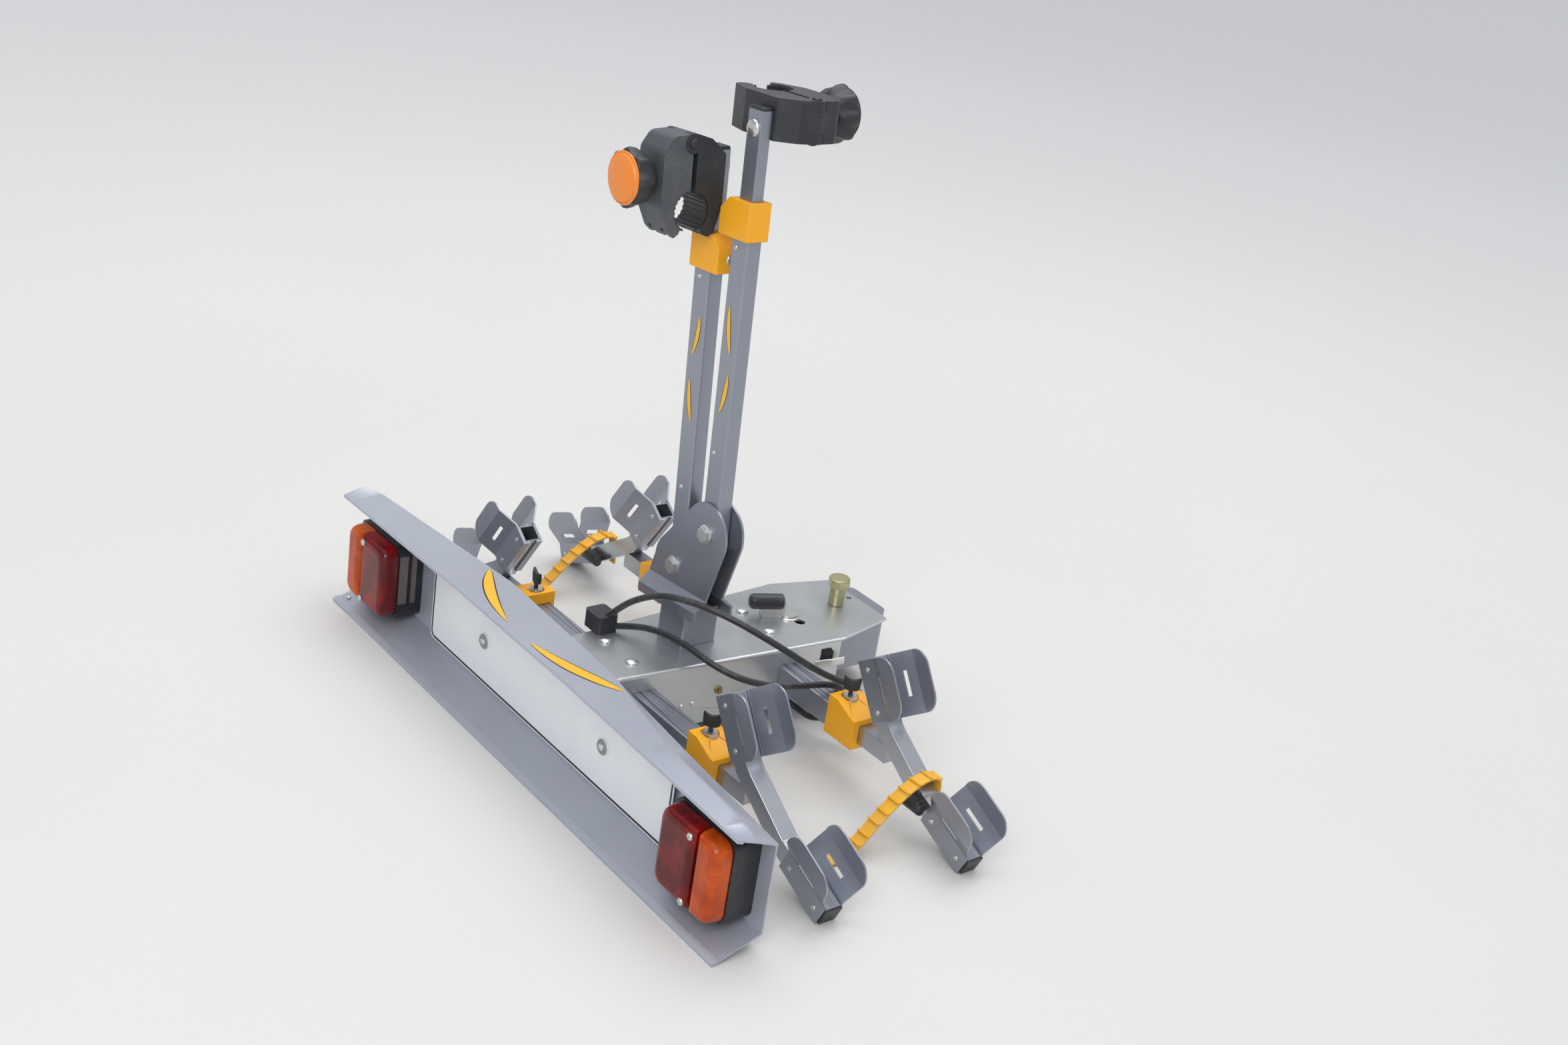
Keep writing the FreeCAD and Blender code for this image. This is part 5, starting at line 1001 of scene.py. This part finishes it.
def make_stage():
    """Plain pale floor, pale surroundings and soft lamps."""
    make_floor()
    scene = bpy.context.scene
    world = bpy.data.worlds.new("soft room")
    world.use_nodes = True
    sky = world.node_tree
    generated = put(sky, "ShaderNodeTexCoord").outputs["Generated"]
    up = put(sky, "ShaderNodeSeparateXYZ", {"Vector": generated}).outputs["Z"]
    walls = mix(sky, span(sky, up, 0.14, 0.34), (0.84, 0.85, 0.88, 1), (0.34, 0.35, 0.38, 1))
    room = mix(sky, span(sky, up, 0.38, 0.88), walls, (1.04, 1.06, 1.09, 1))
    feed(sky, sky.nodes["Background"], {"Color": room, "Strength": 0.85})
    scene.world = world
    lamp_light("window", (2.2, -2.6, 2.8), (0, 0, 0.2), 2.4, 70)
    lamp_light("ceiling", (-0.6, 0.6, 3.2), (0, 0, 0.1), 3.0, 60)
    scene.view_settings.view_transform = "Standard"


# Settings, operators and the panel

class CarrierColours(bpy.types.PropertyGroup):
    paint: bpy.props.FloatVectorProperty(name="Frame paint",
                                         description="Silver grey paint of tubes and guides",
                                         subtype="COLOR", size=4, default=tone(152, 156, 167), min=0, max=1)
    board: bpy.props.FloatVectorProperty(name="Board paint", description="Paler paint of the light board",
                                         subtype="COLOR", size=4, default=tone(176, 180, 192), min=0, max=1)
    cover: bpy.props.FloatVectorProperty(name="Cover", description="Bright lacquered chassis cover",
                                         subtype="COLOR", size=4, default=tone(196, 199, 201), min=0, max=1)
    yellow: bpy.props.FloatVectorProperty(name="Collars", description="Yellow moulded collars",
                                          subtype="COLOR", size=4, default=tone(246, 172, 16), min=0, max=1)
    black: bpy.props.FloatVectorProperty(name="Black plastic", description="Clamps, knobs and plugs",
                                         subtype="COLOR", size=4, default=tone(42, 44, 48), min=0, max=1)
    orange: bpy.props.FloatVectorProperty(name="Knob cap", description="Orange cap of the left knob",
                                          subtype="COLOR", size=4, default=tone(236, 134, 34), min=0, max=1)


class CarrierSizes(bpy.types.PropertyGroup):
    lead_diameter: bpy.props.FloatProperty(name="Lead", description="Diameter of the lighting leads",
                                           default=0.008, min=0.004, max=0.012, unit="LENGTH")


class CarrierCamera(bpy.types.Operator):
    """Place the camera at the reference viewpoint"""
    bl_idname = "carrier.camera"
    bl_label = "Camera"

    def execute(self, context):
        make_camera()
        return {"FINISHED"}


class CarrierLeads(bpy.types.Operator):
    """Lay the two lighting leads"""
    bl_idname = "carrier.leads"
    bl_label = "Leads"

    def execute(self, context):
        make_lead("lead_upper", UPPER_LEAD)
        make_lead("lead_lower", LOWER_LEAD)
        return {"FINISHED"}


class CarrierBoard(bpy.types.Operator):
    """Dress the light board and the number plate"""
    bl_idname = "carrier.board"
    bl_label = "Light board"

    def execute(self, context):
        make_board()
        make_plate()
        make_board_rivets()
        return {"FINISHED"}


class CarrierLamps(bpy.types.Operator):
    """Make the lenses and dress the lamp housings"""
    bl_idname = "carrier.lamps"
    bl_label = "Lamps"

    def execute(self, context):
        make_lamps()
        make_lamp_window()
        return {"FINISHED"}


class CarrierChassis(bpy.types.Operator):
    """Dress the chassis and make the parts on it"""
    bl_idname = "carrier.chassis"
    bl_label = "Chassis"

    def execute(self, context):
        make_chassis()
        make_controls()
        return {"FINISHED"}


class CarrierHead(bpy.types.Operator):
    """Dress the post and the head plates"""
    bl_idname = "carrier.head"
    bl_label = "Post and head"

    def execute(self, context):
        make_head()
        return {"FINISHED"}


class CarrierArms(bpy.types.Operator):
    """Dress the telescopic arms"""
    bl_idname = "carrier.arms"
    bl_label = "Arms"

    def execute(self, context):
        make_arms()
        return {"FINISHED"}


class CarrierClamps(bpy.types.Operator):
    """Dress the frame clamps and make their knobs"""
    bl_idname = "carrier.clamps"
    bl_label = "Clamps"

    def execute(self, context):
        make_clamps()
        return {"FINISHED"}


class CarrierCollars(bpy.types.Operator):
    """Dress the bar collars and make their wing screws"""
    bl_idname = "carrier.collars"
    bl_label = "Bar collars"

    def execute(self, context):
        make_collars()
        return {"FINISHED"}


class CarrierCradles(bpy.types.Operator):
    """Dress the wheel cradles and their guides"""
    bl_idname = "carrier.cradles"
    bl_label = "Wheel cradles"

    def execute(self, context):
        make_cradles()
        return {"FINISHED"}


class CarrierStraps(bpy.types.Operator):
    """Make the wheel straps and their buckles"""
    bl_idname = "carrier.straps"
    bl_label = "Wheel straps"

    def execute(self, context):
        make_straps()
        return {"FINISHED"}


class CarrierStage(bpy.types.Operator):
    """Set up the floor, the lamps and the surroundings"""
    bl_idname = "carrier.stage"
    bl_label = "Stage"

    def execute(self, context):
        make_stage()
        return {"FINISHED"}


PIECES = (CarrierCamera, CarrierLeads, CarrierBoard, CarrierLamps, CarrierChassis, CarrierHead, CarrierArms,
          CarrierClamps, CarrierCollars, CarrierCradles, CarrierStraps, CarrierStage)


class CarrierPanel(bpy.types.Panel):
    """Lists the carrier's pieces and its colours"""
    bl_idname = "VIEW3D_PT_carrier"
    bl_label = "Bicycle carrier"
    bl_space_type = "VIEW_3D"
    bl_region_type = "UI"
    bl_category = "Carrier"

    def draw(self, context):
        for item in PIECES:
            self.layout.operator(item.bl_idname)
        for settings in (context.scene.carrier_colours, context.scene.carrier_sizes):
            for name in settings.bl_rna.properties.keys():
                if name not in ("rna_type", "name"):
                    self.layout.prop(settings, name)


CLASSES = (CarrierColours, CarrierSizes) + PIECES + (CarrierPanel,)


def register():
    for item in CLASSES:
        bpy.utils.register_class(item)
    bpy.types.Scene.carrier_colours = bpy.props.PointerProperty(type=CarrierColours)
    bpy.types.Scene.carrier_sizes = bpy.props.PointerProperty(type=CarrierSizes)


def unregister():
    del bpy.types.Scene.carrier_sizes
    del bpy.types.Scene.carrier_colours
    for item in reversed(CLASSES):
        bpy.utils.unregister_class(item)


def main():
    register()
    for item in PIECES:
        group, name = item.bl_idname.split(".")
        getattr(getattr(bpy.ops, group), name)()


if __name__ == "__main__":
    main()
